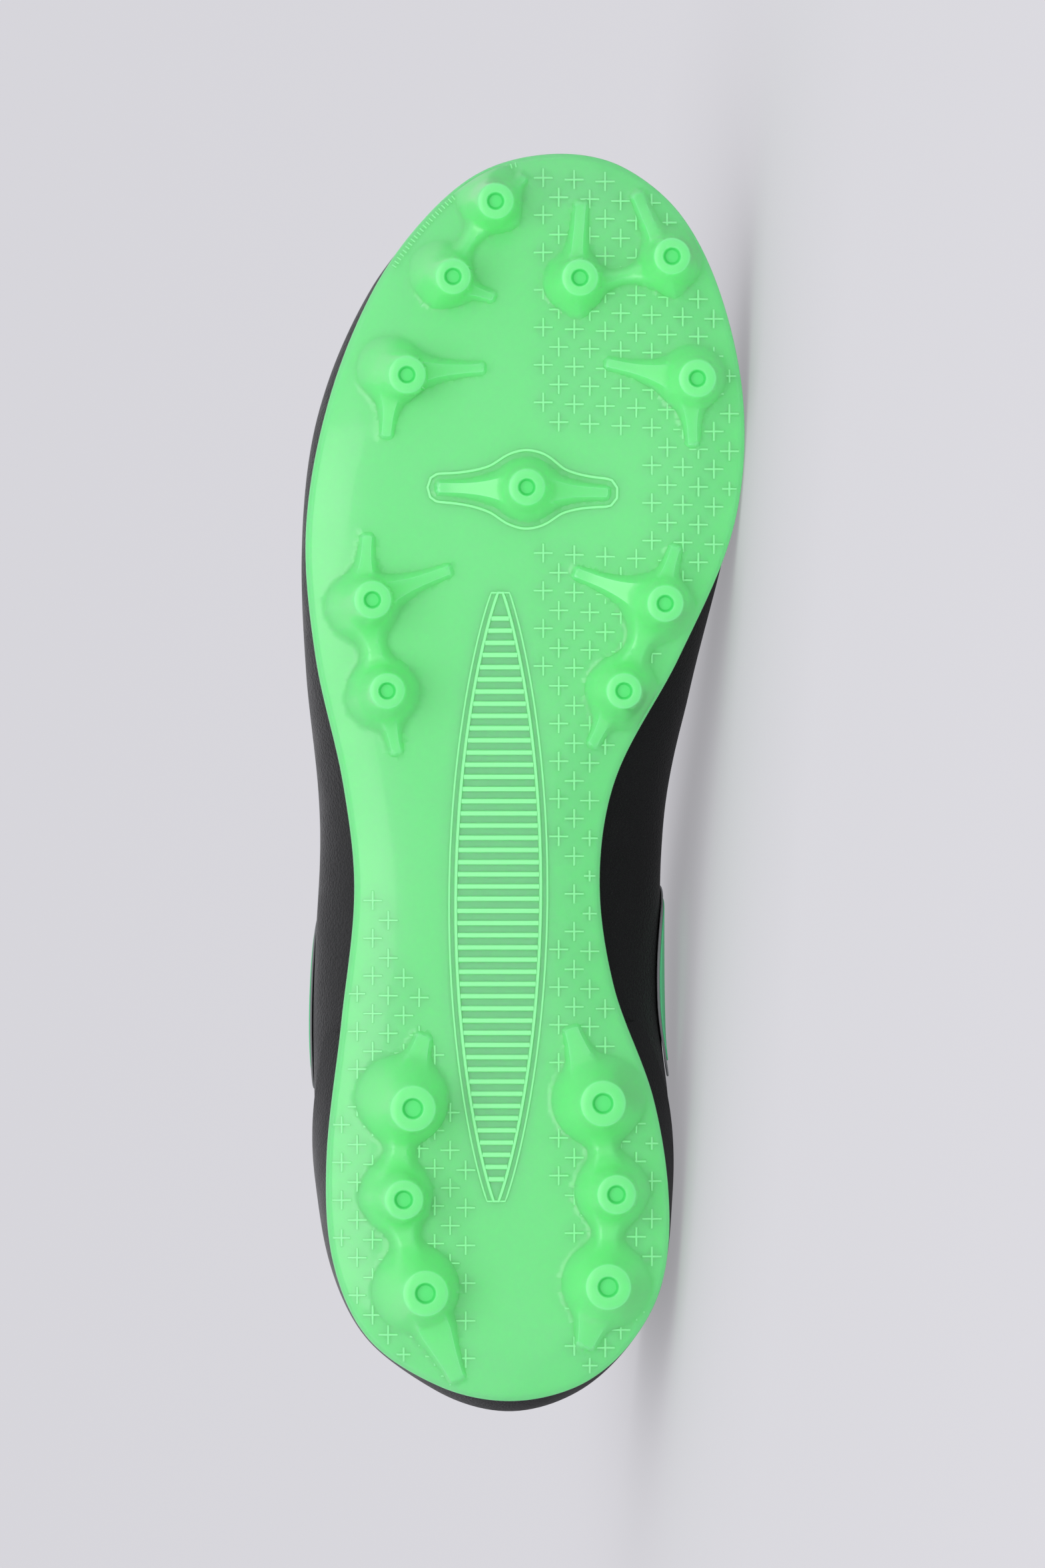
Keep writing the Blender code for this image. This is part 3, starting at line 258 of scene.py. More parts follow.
def smooth_step(value, low, high):
    """0 below low, 1 above high, smooth in between."""
    u = np.clip((np.asarray(value, float) - low) / (high - low), 0, 1)
    return u * u * (3 - 2 * u)


def smooth_min(a, b, width):
    """The lower of two surfaces, with the corner between them rounded."""
    h = np.clip(0.5 + 0.5 * (b - a) / width, 0, 1)
    return b + (a - b) * h - width * h * (1 - h)


DENSE_OUTLINE = closed_curve([(x * SHOE_LENGTH, y * BALL_WIDTH) for x, y in SOLE_OUTLINE])
TOE_APEX = TOE_APEX_ROW * CURVE_STEPS


def outline_loop(steps):
    """The sole's edge in plan: points from the heel to the toe round the inner side, and as many back."""
    inner = evenly(DENSE_OUTLINE[: TOE_APEX + 1], steps + 1)
    outer = evenly(np.vstack([DENSE_OUTLINE[TOE_APEX:], DENSE_OUTLINE[:1]]), steps + 1)
    return np.vstack([inner[:-1], outer[:-1]])


def outward(loop):
    """The outward direction at each point of a loop that runs round by the inner side."""
    tangent = np.roll(loop, -1, 0) - np.roll(loop, 1, 0)
    normal = unit(np.stack([-tangent[:, 1], tangent[:, 0]], 1))
    return normal * np.sign(((loop - loop.mean(0)) * normal).sum())


def inset_loop(inset, steps):
    loop = outline_loop(steps)
    return loop - outward(loop) * inset


def edge_distance(x, y):
    """How far each point in plan lies from the sole's edge."""
    points = np.stack([np.ravel(x), np.ravel(y)], 1)
    spans = np.roll(DENSE_OUTLINE, -1, 0) - DENSE_OUTLINE
    squares = (spans**2).sum(1)
    found = []
    for k in range(0, len(points), POINTS_AT_ONCE):
        some = points[k : k + POINTS_AT_ONCE, None]
        along = ((some - DENSE_OUTLINE) * spans).sum(2) / squares
        nearest = DENSE_OUTLINE + np.clip(along, 0, 1)[..., None] * spans
        found.append(np.linalg.norm(some - nearest, axis=2).min(1))
    return np.concatenate(found).reshape(np.shape(x))


def toe_lift(x):
    return TOE_SPRING * np.clip((x / SHOE_LENGTH - TOE_BREAK) / (1 - TOE_BREAK), 0, None) ** 2


def plate_line(x):
    """Height of the plate's underside along the middle of the shoe."""
    share = np.asarray(x, float) / SHOE_LENGTH
    heel = HEEL_UPTURN * np.clip(1 - share / HEEL_BREAK, 0, None) ** HEEL_CURVE
    return STUD_HEIGHT + ARCH_LIFT * curve_through(ARCH)(share) + toe_lift(x) + heel


def plate_underside(x, y):
    """Height of the plate's underside, which curves up towards its edge."""
    near = np.clip(1 - edge_distance(x, y) / EDGE_SWEEP, 0, 1)
    return plate_line(x) + EDGE_RISE * near**3


BED_RIM = FEATHER_INSET + WALL + 2 * GAP
BED_RINGS = (BED_RIM, BED_RIM + BED_SLOPE / 2, BED_RIM + BED_SLOPE)


def plate_top(x, distance):
    """Height of the plate's top: a flat rim that the upper stands on, round a shallow foot bed."""
    return plate_line(x) + PLATE_THICKNESS - BED_DEPTH * smooth_step(distance, BED_RIM, BED_RIM + BED_SLOPE)


class Stud:
    """One stud: where its tip and base are, and how wide it is at each height."""

    def __init__(self, name, x, y, lean_x, lean_y, tip, recess):
        self.name = name
        self.tip = np.array([x * SHOE_LENGTH, y * BALL_WIDTH])
        self.lean = np.array([lean_x, lean_y]) * STUD_HEIGHT
        self.tip_radius = tip * STUD_HEIGHT
        self.recess_radius = recess * STUD_HEIGHT
        wide = tip > WIDE_STUD_TIP
        self.flare = WIDE_STUD_FLARE if wide else STUD_FLARE
        self.flare_height = WIDE_FLARE_HEIGHT if wide else STUD_FLARE_HEIGHT
        self.tip_level = float(toe_lift(self.tip[0]))
        self.base_level = float(plate_underside(*self.tip))
        self.height = self.base_level - self.tip_level

    def radius(self, height):
        flare = self.flare * np.clip(1 - height / self.flare_height, 0, None) ** FLARE_CURVE
        return self.tip_radius + STUD_DRAFT * (self.height - height) + flare

    def centre(self, height):
        share = 1 - np.asarray(height, float) / self.height
        return self.tip - share[..., None] * self.lean

    @property
    def base(self):
        return self.tip - self.lean

    def level(self, x, y):
        """Height of the stud's surface over each point in plan."""
        points = np.stack([x, y], -1)
        low, high = np.zeros(np.shape(x)), np.full(np.shape(x), self.height)
        for _ in range(HALVINGS):
            middle = (low + high) / 2
            inside = np.linalg.norm(points - self.centre(middle), axis=-1) < self.radius(middle)
            low, high = np.where(inside, middle, low), np.where(inside, high, middle)
        outside = np.linalg.norm(points - self.base, axis=-1) - self.radius(np.zeros(1))
        reached = np.where(outside > 0, -outside * FOOT_SLOPE, low)
        reached = np.where(reached > self.height * 0.9999, self.height, reached)
        return self.base_level - reached


STUD_LIST = [Stud(*row) for row in STUDS]
STUD_NAMED = {stud.name: stud for stud in STUD_LIST}


def ridge_segments():
    """Every wing and bridge as (start, end, least half width, curve). A bridge has curve 0."""
    for name, x, y, least, curve in WINGS:
        yield STUD_NAMED[name].base, np.array([x * SHOE_LENGTH, y * BALL_WIDTH]), least, curve
    for first, second, least in BRIDGES:
        yield STUD_NAMED[first].base, STUD_NAMED[second].base, least, 0


def ridge_shape(u, least, curve):
    """Height and half width of a wing's flat top at the share u of its length."""
    thin = least < THIN_BRIDGE_HALF
    if curve:
        height = WING_END_HEIGHT + (WING_ROOT_HEIGHT - WING_END_HEIGHT) * (1 - u) ** WING_FALL
        spread = WING_SPREAD * (1 - u) ** curve
    else:
        middle = THIN_BRIDGE_HEIGHT if thin else BRIDGE_MIDDLE_HEIGHT
        height = middle + (WING_ROOT_HEIGHT - middle) * (2 * u - 1) ** 2
        spread = (THIN_BRIDGE_SPREAD if thin else BRIDGE_SPREAD) * (2 * u - 1) ** 2
    return height, np.minimum(least + spread, WING_MOST_HALF)


def ridge_level(x, y, start, end, least, curve, plate):
    """Height of a wing's or bridge's surface: a flat top with square ends and sloping sides."""
    span = end - start
    length = math.hypot(*span)
    along = ((x - start[0]) * span[0] + (y - start[1]) * span[1]) / length
    across = np.abs((x - start[0]) * span[1] - (y - start[1]) * span[0]) / length
    u = np.clip(along / length, 0, 1)
    past = np.clip(np.abs(along - length / 2) - length / 2 + WING_CORNER, 0, None)
    height, half = ridge_shape(u, least, curve)
    corner = min(WING_CORNER, least)
    outside = np.hypot(np.clip(across - half + corner, 0, None), past) - corner
    edge, slope = (WING_EDGE, WING_SIDE_SLOPE) if curve else (BRIDGE_EDGE, BRIDGE_SIDE_SLOPE)
    fall = np.hypot(np.clip(outside, 0, None), edge) - edge
    return plate - (height - slope * fall)


def form_level(x, y, plate):
    """Height of the studs with their wings and bridges, webbed together where they meet."""
    level = np.full(np.shape(x), 1.0)
    for stud in STUD_LIST:
        near = np.hypot(x - stud.base[0], y - stud.base[1]) < STUD_REACH
        level[near] = np.minimum(level[near], stud.level(x[near], y[near]))
    for start, end, least, curve in ridge_segments():
        middle = (start + end) / 2
        near = np.hypot(x - middle[0], y - middle[1]) < np.linalg.norm(end - start) / 2 + RIDGE_REACH
        ridge = ridge_level(x[near], y[near], start, end, least, curve, plate[near])
        web = WEB if curve else THIN_BRIDGE_WEB if least < THIN_BRIDGE_HALF else BRIDGE_WEB
        level[near] = smooth_min(level[near], ridge, web)
    return level


def form_height(points):
    """How far the studs, wings and bridges stand out of the plate at points. Negative beside them."""
    x, y = points[..., 0], points[..., 1]
    plate = plate_underside(x, y)
    return plate - form_level(x, y, plate)


def sole_underside(x, y):
    """Height of the sole's underside: the plate with every form on it, each with a crisp foot."""
    x, y = np.asarray(x, float), np.asarray(y, float)
    plate = plate_underside(x, y)
    return smooth_min(plate, form_level(x, y, plate), FOOT_BLEND)


# How finely the dressed surfaces are cut
SKIN_TURNS = 960
SKIN_ROWS = 97
FEATHER = inset_loop(FEATHER_INSET, SKIN_TURNS // 2)
FEATHER_OUT = outward(FEATHER)
SPINE_LINE = curve_through(SPINE)
RIB_VALUES = {
    name: curve_through([(row[0], row[column]) for row in RIBS], level_ends=name != "edge_side")
    for column, name in enumerate(RIB_COLUMNS[1:], start=1)
}


def rib_points(step):
    """One rib of the upper, evenly spaced from the sole's edge to the edge of the collar or throat."""
    turn = step / SKIN_TURNS
    inner = turn <= 0.5
    along = 2 * turn if inner else 2 * (1 - turn)
    side = 1 if inner else -1
    out = FEATHER_OUT[step]
    value = {name: float(at(along)) for name, at in RIB_VALUES.items()}
    edge_y = (float(SPINE_LINE(value["edge_x"])) + side * value["edge_side"]) * BALL_WIDTH
    foot = np.array([*FEATHER[step], float(plate_top(FEATHER[step][0], FEATHER_INSET)) + GAP])
    edge = np.array([value["edge_x"] * SHOE_LENGTH, edge_y, value["edge_up"] * INSTEP_HEIGHT])
    fall = unit(foot[:2] - edge[:2] + out * EDGE_REACH)
    belly_out = value["inner_out" if inner else "outer_out"] * BALL_WIDTH
    lower = foot + np.array([*(out * belly_out), value["belly_up"] * INSTEP_HEIGHT])
    brow = edge + np.array([*(fall * value["brow_out"] * BALL_WIDTH), -value["brow_down"] * INSTEP_HEIGHT])
    s = np.linspace(0, 1, 120)[:, None]
    curve = (1 - s) ** 3 * foot + 3 * s * (1 - s) ** 2 * lower + 3 * s * s * (1 - s) * brow + s**3 * edge
    return evenly(curve, SKIN_ROWS)


def skin_grid():
    """The upper's outer face as close-set points, with their outward normals."""
    points = np.array([rib_points(k) for k in range(SKIN_TURNS)])
    around = np.roll(points, -1, 0) - np.roll(points, 1, 0)
    normals = unit(np.cross(around, np.gradient(points, axis=1)))
    if ((points - points.mean((0, 1))) * normals).sum(2).mean() < 0:
        normals = -normals
    return points, normals


SKIN, SKIN_OUT = skin_grid()


def skin(turns, ups, offset=0.0):
    """Points on the upper's outer face, or offset outwards from it, and their outward directions."""
    turns, ups, offset = np.broadcast_arrays(np.asarray(turns, float), ups, offset)
    place = (turns % 1.0) * SKIN_TURNS
    row = np.clip(ups, 0, 1) * (SKIN_ROWS - 1)
    k = place.astype(int) % SKIN_TURNS
    r = np.minimum(row.astype(int), SKIN_ROWS - 2)
    a, b = (place - place.astype(int))[..., None], (row - r)[..., None]
    after = (k + 1) % SKIN_TURNS
    found = []
    for grid in (SKIN, SKIN_OUT):
        low = grid[k, r] * (1 - a) + grid[after, r] * a
        high = grid[k, r + 1] * (1 - a) + grid[after, r + 1] * a
        found.append(low * (1 - b) + high * b)
    point, normal = found[0], unit(found[1])
    return point + normal * offset[..., None], normal


def side_turn(along, side):
    """The turn of a place along the inner (side 1) or outer (side -1) side."""
    return along / 2 if side > 0 else 1 - along / 2


def shoe_matrix():
    """Where the shoe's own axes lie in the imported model, read from its two mounts."""
    mounts = {mount["name"]: mount for mount in frame["record"]["mounts"]}
    heel, fore = mounts["heel_stud"], mounts["forefoot_stud"]
    spots = []
    for name in ("heel_outer", "ball_outer"):
        stud = STUD_NAMED[name]
        spots.append(Vector((stud.tip[0] + (stud.tip_radius + stud.recess_radius) / 2, stud.tip[1], 0)))
    up = -Vector(heel["axis"]).normalized()
    reach = Vector(fore["pos_m"]) - Vector(heel["pos_m"])
    reach = (reach - up * reach.dot(up)).normalized()
    turn = math.atan2(*(spots[1] - spots[0]).yx)
    forward = Matrix.Rotation(-turn, 3, up) @ reach
    axes = Matrix((forward, up.cross(forward), up)).transposed()
    return Matrix.Translation(Vector(heel["pos_m"]) - axes @ spots[0]) @ axes.to_4x4()


SHOE = shoe_matrix()


# Materials

GREEN = (0.206, 0.900, 0.290, 1.0)
GREEN_DEEP = (0.160, 0.830, 0.235, 1.0)
# The next green is the sole's green made paler: a painted highlight for the raised ribs and crosses,
# standing in for the light their edges catch.
GREEN_PAINTED_HIGHLIGHT = (0.300, 0.950, 0.385, 1.0)
BLACK = (0.0055, 0.0060, 0.0060, 1.0)
BLACK_HIGH = (0.0130, 0.0138, 0.0142, 1.0)


def node_group(name, inputs, outputs):
    """An empty shader group, what it is given and what it gives."""
    group = bpy.data.node_groups.new(name, "ShaderNodeTree")
    for label, kind, value in inputs:
        made = group.interface.new_socket(name=label, in_out="INPUT", socket_type=kind)
        if value is not None:
            made.default_value = value
    for label, kind in outputs:
        group.interface.new_socket(name=label, in_out="OUTPUT", socket_type=kind)
    return group, group.nodes.new("NodeGroupInput").outputs, group.nodes.new("NodeGroupOutput").inputs


def feed(tree, value, socket):
    """Gives a socket a value of its own, or links another node's output to it."""
    if isinstance(value, bpy.types.NodeSocket):
        tree.links.new(value, socket)
    else:
        socket.default_value = value


def feed_named(tree, inputs, values):
    """Feeds inputs by their names, with _ for a space."""
    for label, value in values.items():
        feed(tree, value, inputs[label.replace("_", " ")])


def new_node(tree, kind, **values):
    """A node with some of its inputs fed by name."""
    made = tree.nodes.new(kind)
    feed_named(tree, made.inputs, values)
    return made


def reckon(tree, operation, *values, clamp=False):
    """The output of a math node."""
    made = tree.nodes.new("ShaderNodeMath")
    made.operation = operation
    made.use_clamp = clamp
    for value, socket in zip(values, made.inputs):
        feed(tree, value, socket)
    return made.outputs["Value"]


def mix_colours(tree, share, first, second):
    """The output of a mix of two colours."""
    mix = tree.nodes.new("ShaderNodeMix")
    mix.data_type = "RGBA"
    feed_named(tree, mix.inputs, {"Factor": share, "A": first, "B": second})
    return mix.outputs["Result"]


def place_on_piece(tree):
    """The place on the piece itself, in metres."""
    return tree.nodes.new("ShaderNodeTexCoord").outputs["Object"]


def mottle_group():
    """Two colours in soft patches, and a roughness that wanders a little round its mean."""
    inputs = (
        ("Colour", "NodeSocketColor", None),
        ("Other", "NodeSocketColor", None),
        ("Patch Size", "NodeSocketFloat", 60.0),
        ("Amount", "NodeSocketFloat", 0.5),
        ("Roughness", "NodeSocketFloat", 0.4),
        ("Wander", "NodeSocketFloat", 0.1),
    )
    outputs = (("Colour", "NodeSocketColor"), ("Roughness", "NodeSocketFloat"))
    group, given, end = node_group("mottle", inputs, outputs)
    noise = new_node(
        group, "ShaderNodeTexNoise", Vector=place_on_piece(group), Scale=given["Patch Size"], Detail=3.0
    ).outputs["Fac"]
    share = reckon(group, "MULTIPLY", noise, given["Amount"])
    centred = reckon(group, "SUBTRACT", noise, 0.5)
    rough = reckon(group, "MULTIPLY_ADD", centred, given["Wander"], given["Roughness"], clamp=True)
    feed(group, mix_colours(group, share, given["Colour"], given["Other"]), end["Colour"])
    feed(group, rough, end["Roughness"])
    return group


def grain_group():
    """The pebbles and fine pores of leather, as a height."""
    inputs = (("Pebble Size", "NodeSocketFloat", 1400.0), ("Pore Size", "NodeSocketFloat", 5000.0))
    group, given, end = node_group("grain", inputs, (("Height", "NodeSocketFloat"),))
    place = place_on_piece(group)
    pebbles = new_node(group, "ShaderNodeTexVoronoi", Vector=place, Scale=given["Pebble Size"])
    pebbles.feature = "SMOOTH_F1"
    pores = new_node(group, "ShaderNodeTexNoise", Vector=place, Scale=given["Pore Size"], Detail=2.0)
    height = reckon(group, "MULTIPLY_ADD", pores.outputs["Fac"], PORE_SHARE, pebbles.outputs["Distance"])
    feed(group, height, end["Height"])
    return group


def weave_group():
    """Over and under threads along a piece's own UV map, as a height and a mask."""
    inputs = (("Threads Along", "NodeSocketFloat", 400.0), ("Threads Across", "NodeSocketFloat", 400.0))
    outputs = (("Height", "NodeSocketFloat"), ("Mask", "NodeSocketFloat"))
    group, given, end = node_group("weave", inputs, outputs)
    place = group.nodes.new("ShaderNodeUVMap")
    place.uv_map = "cloth"
    split = new_node(group, "ShaderNodeSeparateXYZ", Vector=place.outputs["UV"]).outputs
    along = reckon(group, "SINE", reckon(group, "MULTIPLY", split["X"], given["Threads Along"]))
    across = reckon(group, "SINE", reckon(group, "MULTIPLY", split["Y"], given["Threads Across"]))
    mask = reckon(group, "MULTIPLY_ADD", reckon(group, "MULTIPLY", along, across), 0.5, 0.5)
    feed(group, mask, end["Height"])
    feed(group, mask, end["Mask"])
    return group


PORE_SHARE = 0.35
CLOTH_ROUGHNESS = 0.85
MOTTLE, GRAIN, WEAVE = mottle_group(), grain_group(), weave_group()


def new_material(name, **values):
    """A material, its node tree, and its Principled shader's inputs with some fed by name."""
    made = bpy.data.materials.new(name)
    made.use_nodes = True
    inputs = made.node_tree.nodes["Principled BSDF"].inputs
    feed_named(made.node_tree, inputs, values)
    return made, made.node_tree, inputs


def place_group(tree, group, **values):
    """The outputs of a shader group with its inputs fed by name."""
    placed = tree.nodes.new("ShaderNodeGroup")
    placed.node_tree = group
    feed_named(tree, placed.inputs, values)
    return placed.outputs


def add_bump(tree, inputs, height, depth, strength=1.0):
    """Feeds a height to the shader's normal as a bump."""
    bump = new_node(tree, "ShaderNodeBump", Strength=strength, Distance=depth, Height=height)
    feed(tree, bump.outputs["Normal"], inputs["Normal"])


def add_clouds(tree, inputs, **values):
    """Feeds the shader's colour and roughness from soft patches."""
    cloud = place_group(tree, MOTTLE, **values)
    feed(tree, cloud["Colour"], inputs["Base Color"])
    feed(tree, cloud["Roughness"], inputs["Roughness"])


def moulded(name, colour, other, roughness, amount=0.4, **values):
    """Moulded plastic: an even colour with faint clouds, and a fine skin."""
    made, tree, inputs = new_material(name, **values)
    patches = {"Patch Size": 45.0, "Amount": amount, "Roughness": roughness, "Wander": 0.12}
    add_clouds(tree, inputs, Colour=colour, Other=other, **patches)
    pores = new_node(tree, "ShaderNodeTexNoise", Scale=900.0, Vector=place_on_piece(tree))
    add_bump(tree, inputs, pores.outputs["Fac"], depth=0.00003, strength=0.5)
    return made


def leather(name, pebble, depth, roughness, **values):
    """Black leather with its grain in relief."""
    made, tree, inputs = new_material(name, **values)
    patches = {"Patch Size": 120.0, "Amount": 0.7, "Roughness": roughness, "Wander": 0.25}
    add_clouds(tree, inputs, Colour=BLACK, Other=BLACK_HIGH, **patches)
    grain = place_group(tree, GRAIN, Pebble_Size=pebble, Pore_Size=pebble * 4)
    add_bump(tree, inputs, grain["Height"], depth)
    return made


def cloth(name, along, across, depth, **values):
    """Woven black cloth whose threads follow the piece's own map."""
    made, tree, inputs = new_material(name, **values)
    weave = place_group(tree, WEAVE, Threads_Along=along, Threads_Across=across)
    threads = mix_colours(tree, weave["Mask"], BLACK, BLACK_HIGH)
    patches = {"Patch Size": 200.0, "Amount": 0.5, "Roughness": CLOTH_ROUGHNESS, "Wander": 0.2}
    add_clouds(tree, inputs, Colour=threads, Other=BLACK, **patches)
    add_bump(tree, inputs, weave["Height"], depth)
    return made


GLOW_DEPTH = (0.35, 1.0, 0.45)
SOLE_PLASTIC = moulded(
    "sole_plastic", GREEN, GREEN_DEEP, 0.32, amount=0.25, Coat_Weight=0.35, Coat_Roughness=0.08,
    Subsurface_Weight=0.9, Subsurface_Radius=GLOW_DEPTH, Subsurface_Scale=0.008,
)
# The ribs and crosses are the sole's own plastic, painted paler as a painted highlight where their raised
# edges catch the light.
RIB_PLASTIC_PAINTED_HIGHLIGHT = moulded(
    "rib_plastic_painted_highlight", GREEN_PAINTED_HIGHLIGHT, GREEN, 0.34, amount=0.2, Coat_Weight=0.3, Coat_Roughness=0.10,
    Subsurface_Weight=0.08, Subsurface_Scale=0.004,
)
RECESS_PLASTIC = moulded(
    "recess_plastic", (0.095, 0.80, 0.200, 1), (0.075, 0.74, 0.170, 1), 0.30,
    Coat_Weight=0.4, Coat_Roughness=0.12,
)
UPPER_LEATHER = leather("upper_leather", 1700.0, 0.00045, 0.35, Specular_IOR_Level=0.36)
COUNTER_LEATHER = leather("counter_leather", 2100.0, 0.00016, 0.34, Specular_IOR_Level=0.32)
EYESTAY_LEATHER = leather("eyestay_leather", 2100.0, 0.00012, 0.42, Specular_IOR_Level=0.36)
LINING_CLOTH = cloth("lining_cloth", 3400.0, 3400.0, 0.00015, Sheen_Weight=0.3, Sheen_Roughness=0.5)
TONGUE_CLOTH = cloth("tongue_cloth", 2600.0, 2600.0, 0.00015, Sheen_Weight=0.25, Sheen_Roughness=0.5)
INSOLE_CLOTH = cloth("insole_cloth", 3800.0, 3800.0, 0.00012, Sheen_Weight=0.3, Sheen_Roughness=0.5)
LACE_CLOTH = cloth("lace_cloth", 3000.0, 4200.0, 0.00022, Sheen_Weight=0.2, Sheen_Roughness=0.5)
THREAD = moulded("thread", (0.014, 0.015, 0.015, 1), (0.024, 0.025, 0.026, 1), 0.55)
PANEL_GREEN = moulded("panel_green", (0.10, 0.62, 0.26, 1), (0.07, 0.52, 0.20, 1), 0.35)
PANEL_GREY = moulded("panel_grey", (0.22, 0.23, 0.235, 1), (0.17, 0.18, 0.185, 1), 0.40)
EYELET_BLACK = moulded("eyelet_black", (0.014, 0.015, 0.015, 1), (0.02, 0.021, 0.021, 1), 0.30)


# Meshes


def deselect():
    if bpy.context.object and bpy.context.object.mode != "OBJECT":
        bpy.ops.object.mode_set(mode="OBJECT")
    bpy.ops.object.select_all(action="DESELECT")


def only(piece):
    deselect()
    piece.select_set(True)
    bpy.context.view_layer.objects.active = piece


def vertex_places(piece):
    places = np.empty(len(piece.data.vertices) * 3)
    piece.data.vertices.foreach_get("co", places)
    return places.reshape(-1, 3)


def settle(piece, paint, replaces=(), angle=35, laid=False):
    """Lays a piece where the shoe lies, paints it and puts it on the shoe's body."""
    if not laid:
        piece.data.transform(SHOE)
    spots = vertex_places(piece)
    spots[:, 2] = np.maximum(spots[:, 2], 0.0)
    piece.data.vertices.foreach_set("co", spots.ravel())
    piece.data.materials.clear()
    piece.data.materials.append(paint)
    only(piece)
    bpy.ops.object.shade_smooth_by_angle(angle=math.radians(angle))
    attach(piece, "root")
    if replaces:
        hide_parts(*replaces)
    return piece


def normals_out(piece, merge=0.0, fill=0):
    """Turns a piece's normals outwards, once its close points are merged or its small holes filled."""
    only(piece)
    bpy.ops.object.mode_set(mode="EDIT")
    bpy.ops.mesh.select_all(action="SELECT")
    if merge:
        bpy.ops.mesh.remove_doubles(threshold=merge)
    if fill:
        bpy.ops.mesh.fill_holes(sides=fill)
    bpy.ops.mesh.normals_make_consistent(inside=False)
    bpy.ops.object.mode_set(mode="OBJECT")


def joined(pieces, name):
    """Several pieces made into one."""
    deselect()
    for piece in pieces:
        piece.select_set(True)
    bpy.context.view_layer.objects.active = pieces[0]
    bpy.ops.object.join()
    whole = bpy.context.object
    whole.name = whole.data.name = name
    return whole


def clear_maps(piece):
    while piece.data.uv_layers:
        piece.data.uv_layers.remove(piece.data.uv_layers[0])


def grid_piece(name, points, close_rows=False, close_columns=False, uv=None):
    """A grid primitive with its vertices put at points. Closed ways are given without their repeat."""
    if close_rows:
        points = np.concatenate([points, points[:1]], 0)
    if close_columns:
        points = np.concatenate([points, points[:, :1]], 1)
    rows, columns = points.shape[:2]
    deselect()
    bpy.ops.mesh.primitive_grid_add(x_subdivisions=columns - 1, y_subdivisions=rows - 1, size=2)
    piece = bpy.context.object
    piece.name = piece.data.name = name
    flat = vertex_places(piece)
    column = np.rint((flat[:, 0] + 1) / 2 * (columns - 1)).astype(int)
    row = np.rint((flat[:, 1] + 1) / 2 * (rows - 1)).astype(int)
    piece.data.vertices.foreach_set("co", points[row, column].ravel())
    clear_maps(piece)
    if uv is not None:
        corners = np.empty(len(piece.data.loops), int)
        piece.data.loops.foreach_get("vertex_index", corners)
        layer = piece.data.uv_layers.new(name="cloth")
        u = row / (rows - 1) * uv[0]
        v = column / (columns - 1) * uv[1]
        layer.data.foreach_set("uv", np.stack([u, v], 1)[corners].ravel())
    piece.data.update()
    if close_rows or close_columns:
        normals_out(piece, merge=0.001 * MM)
    return piece


def mesh_piece(name, points, faces):
    """A piece from points and faces, with its normals out."""
    data = bpy.data.meshes.new(name)
    data.from_pydata([tuple(p) for p in points], [], faces)
    piece = bpy.data.objects.new(name, data)
    bpy.context.scene.collection.objects.link(piece)
    normals_out(piece)
    return piece


def apply_modifiers(piece):
    only(piece)
    for modifier in list(piece.modifiers):
        bpy.ops.object.modifier_apply(modifier=modifier.name)


def thicken(piece, thickness, bevel):
    """Gives a sheet its thickness, outwards from its face, and a small round along its edges."""
    wall = piece.modifiers.new("wall", "SOLIDIFY")
    wall.thickness = thickness
    wall.offset = 1.0
    edge = piece.modifiers.new("edge", "BEVEL")
    edge.width = bevel
    edge.segments = 2
    edge.limit_method = "ANGLE"
    edge.angle_limit = math.radians(50)
    apply_modifiers(piece)


def circle(centre, radius, count):
    angles = 2 * math.pi * np.arange(count) / count
    return np.stack([centre[0] + radius * np.cos(angles), centre[1] + radius * np.sin(angles)], 1)


def thin_out(points, spacing, taken=()):
    """The points, in order, that keep a spacing from each other and from those taken."""
    cells = {}
    kept = []

    def cell(p):
        return int(p[0] // spacing), int(p[1] // spacing)

    def near(p):
        i, j = cell(p)
        for a in (i - 1, i, i + 1):
            for b in (j - 1, j, j + 1):
                for q in cells.get((a, b), ()):
                    if (p[0] - q[0]) ** 2 + (p[1] - q[1]) ** 2 < spacing * spacing:
                        return True
        return False

    for p in taken:
        cells.setdefault(cell(p), []).append(p)
    for p in points:
        if not near(p):
            kept.append(p)
            cells.setdefault(cell(p), []).append(p)
    return kept


def ring_faces(lower, upper, closed=True):
    """Four-sided faces between two rows of as many vertices."""
    count = len(lower)
    return [
        (lower[k], lower[(k + 1) % count], upper[(k + 1) % count], upper[k])
        for k in range(count if closed else count - 1)
    ]


def inside_outline(points):
    loop, after = DENSE_OUTLINE, np.roll(DENSE_OUTLINE, -1, 0)
    found = []
    for k in range(0, len(points), POINTS_AT_ONCE):
        grid = points[k : k + POINTS_AT_ONCE]
        above = (loop[:, 1] > grid[:, 1:]) != (after[:, 1] > grid[:, 1:])
        rise = np.where(after[:, 1] == loop[:, 1], 1, after[:, 1] - loop[:, 1])
        crossing = loop[:, 0] + (grid[:, 1:] - loop[:, 1]) / rise * (after[:, 0] - loop[:, 0])
        found.append((above & (grid[:, :1] < crossing)).sum(1) % 2 == 1)
    return np.concatenate(found)


def fill_points(inset, spacing):
    """Points of a triangular grid that lie at least inset inside the sole's edge."""
    low, high = DENSE_OUTLINE.min(0), DENSE_OUTLINE.max(0)
    rows = []
    for k, y in enumerate(np.arange(low[1], high[1], spacing * math.sqrt(0.75))):
        x = np.arange(low[0] + (k % 2) * spacing / 2, high[0], spacing)
        rows.append(np.stack([x, np.full(len(x), y)], 1))
    grid = np.vstack(rows)
    grid = grid[inside_outline(grid)]
    return grid[edge_distance(grid[:, 0], grid[:, 1]) > inset]


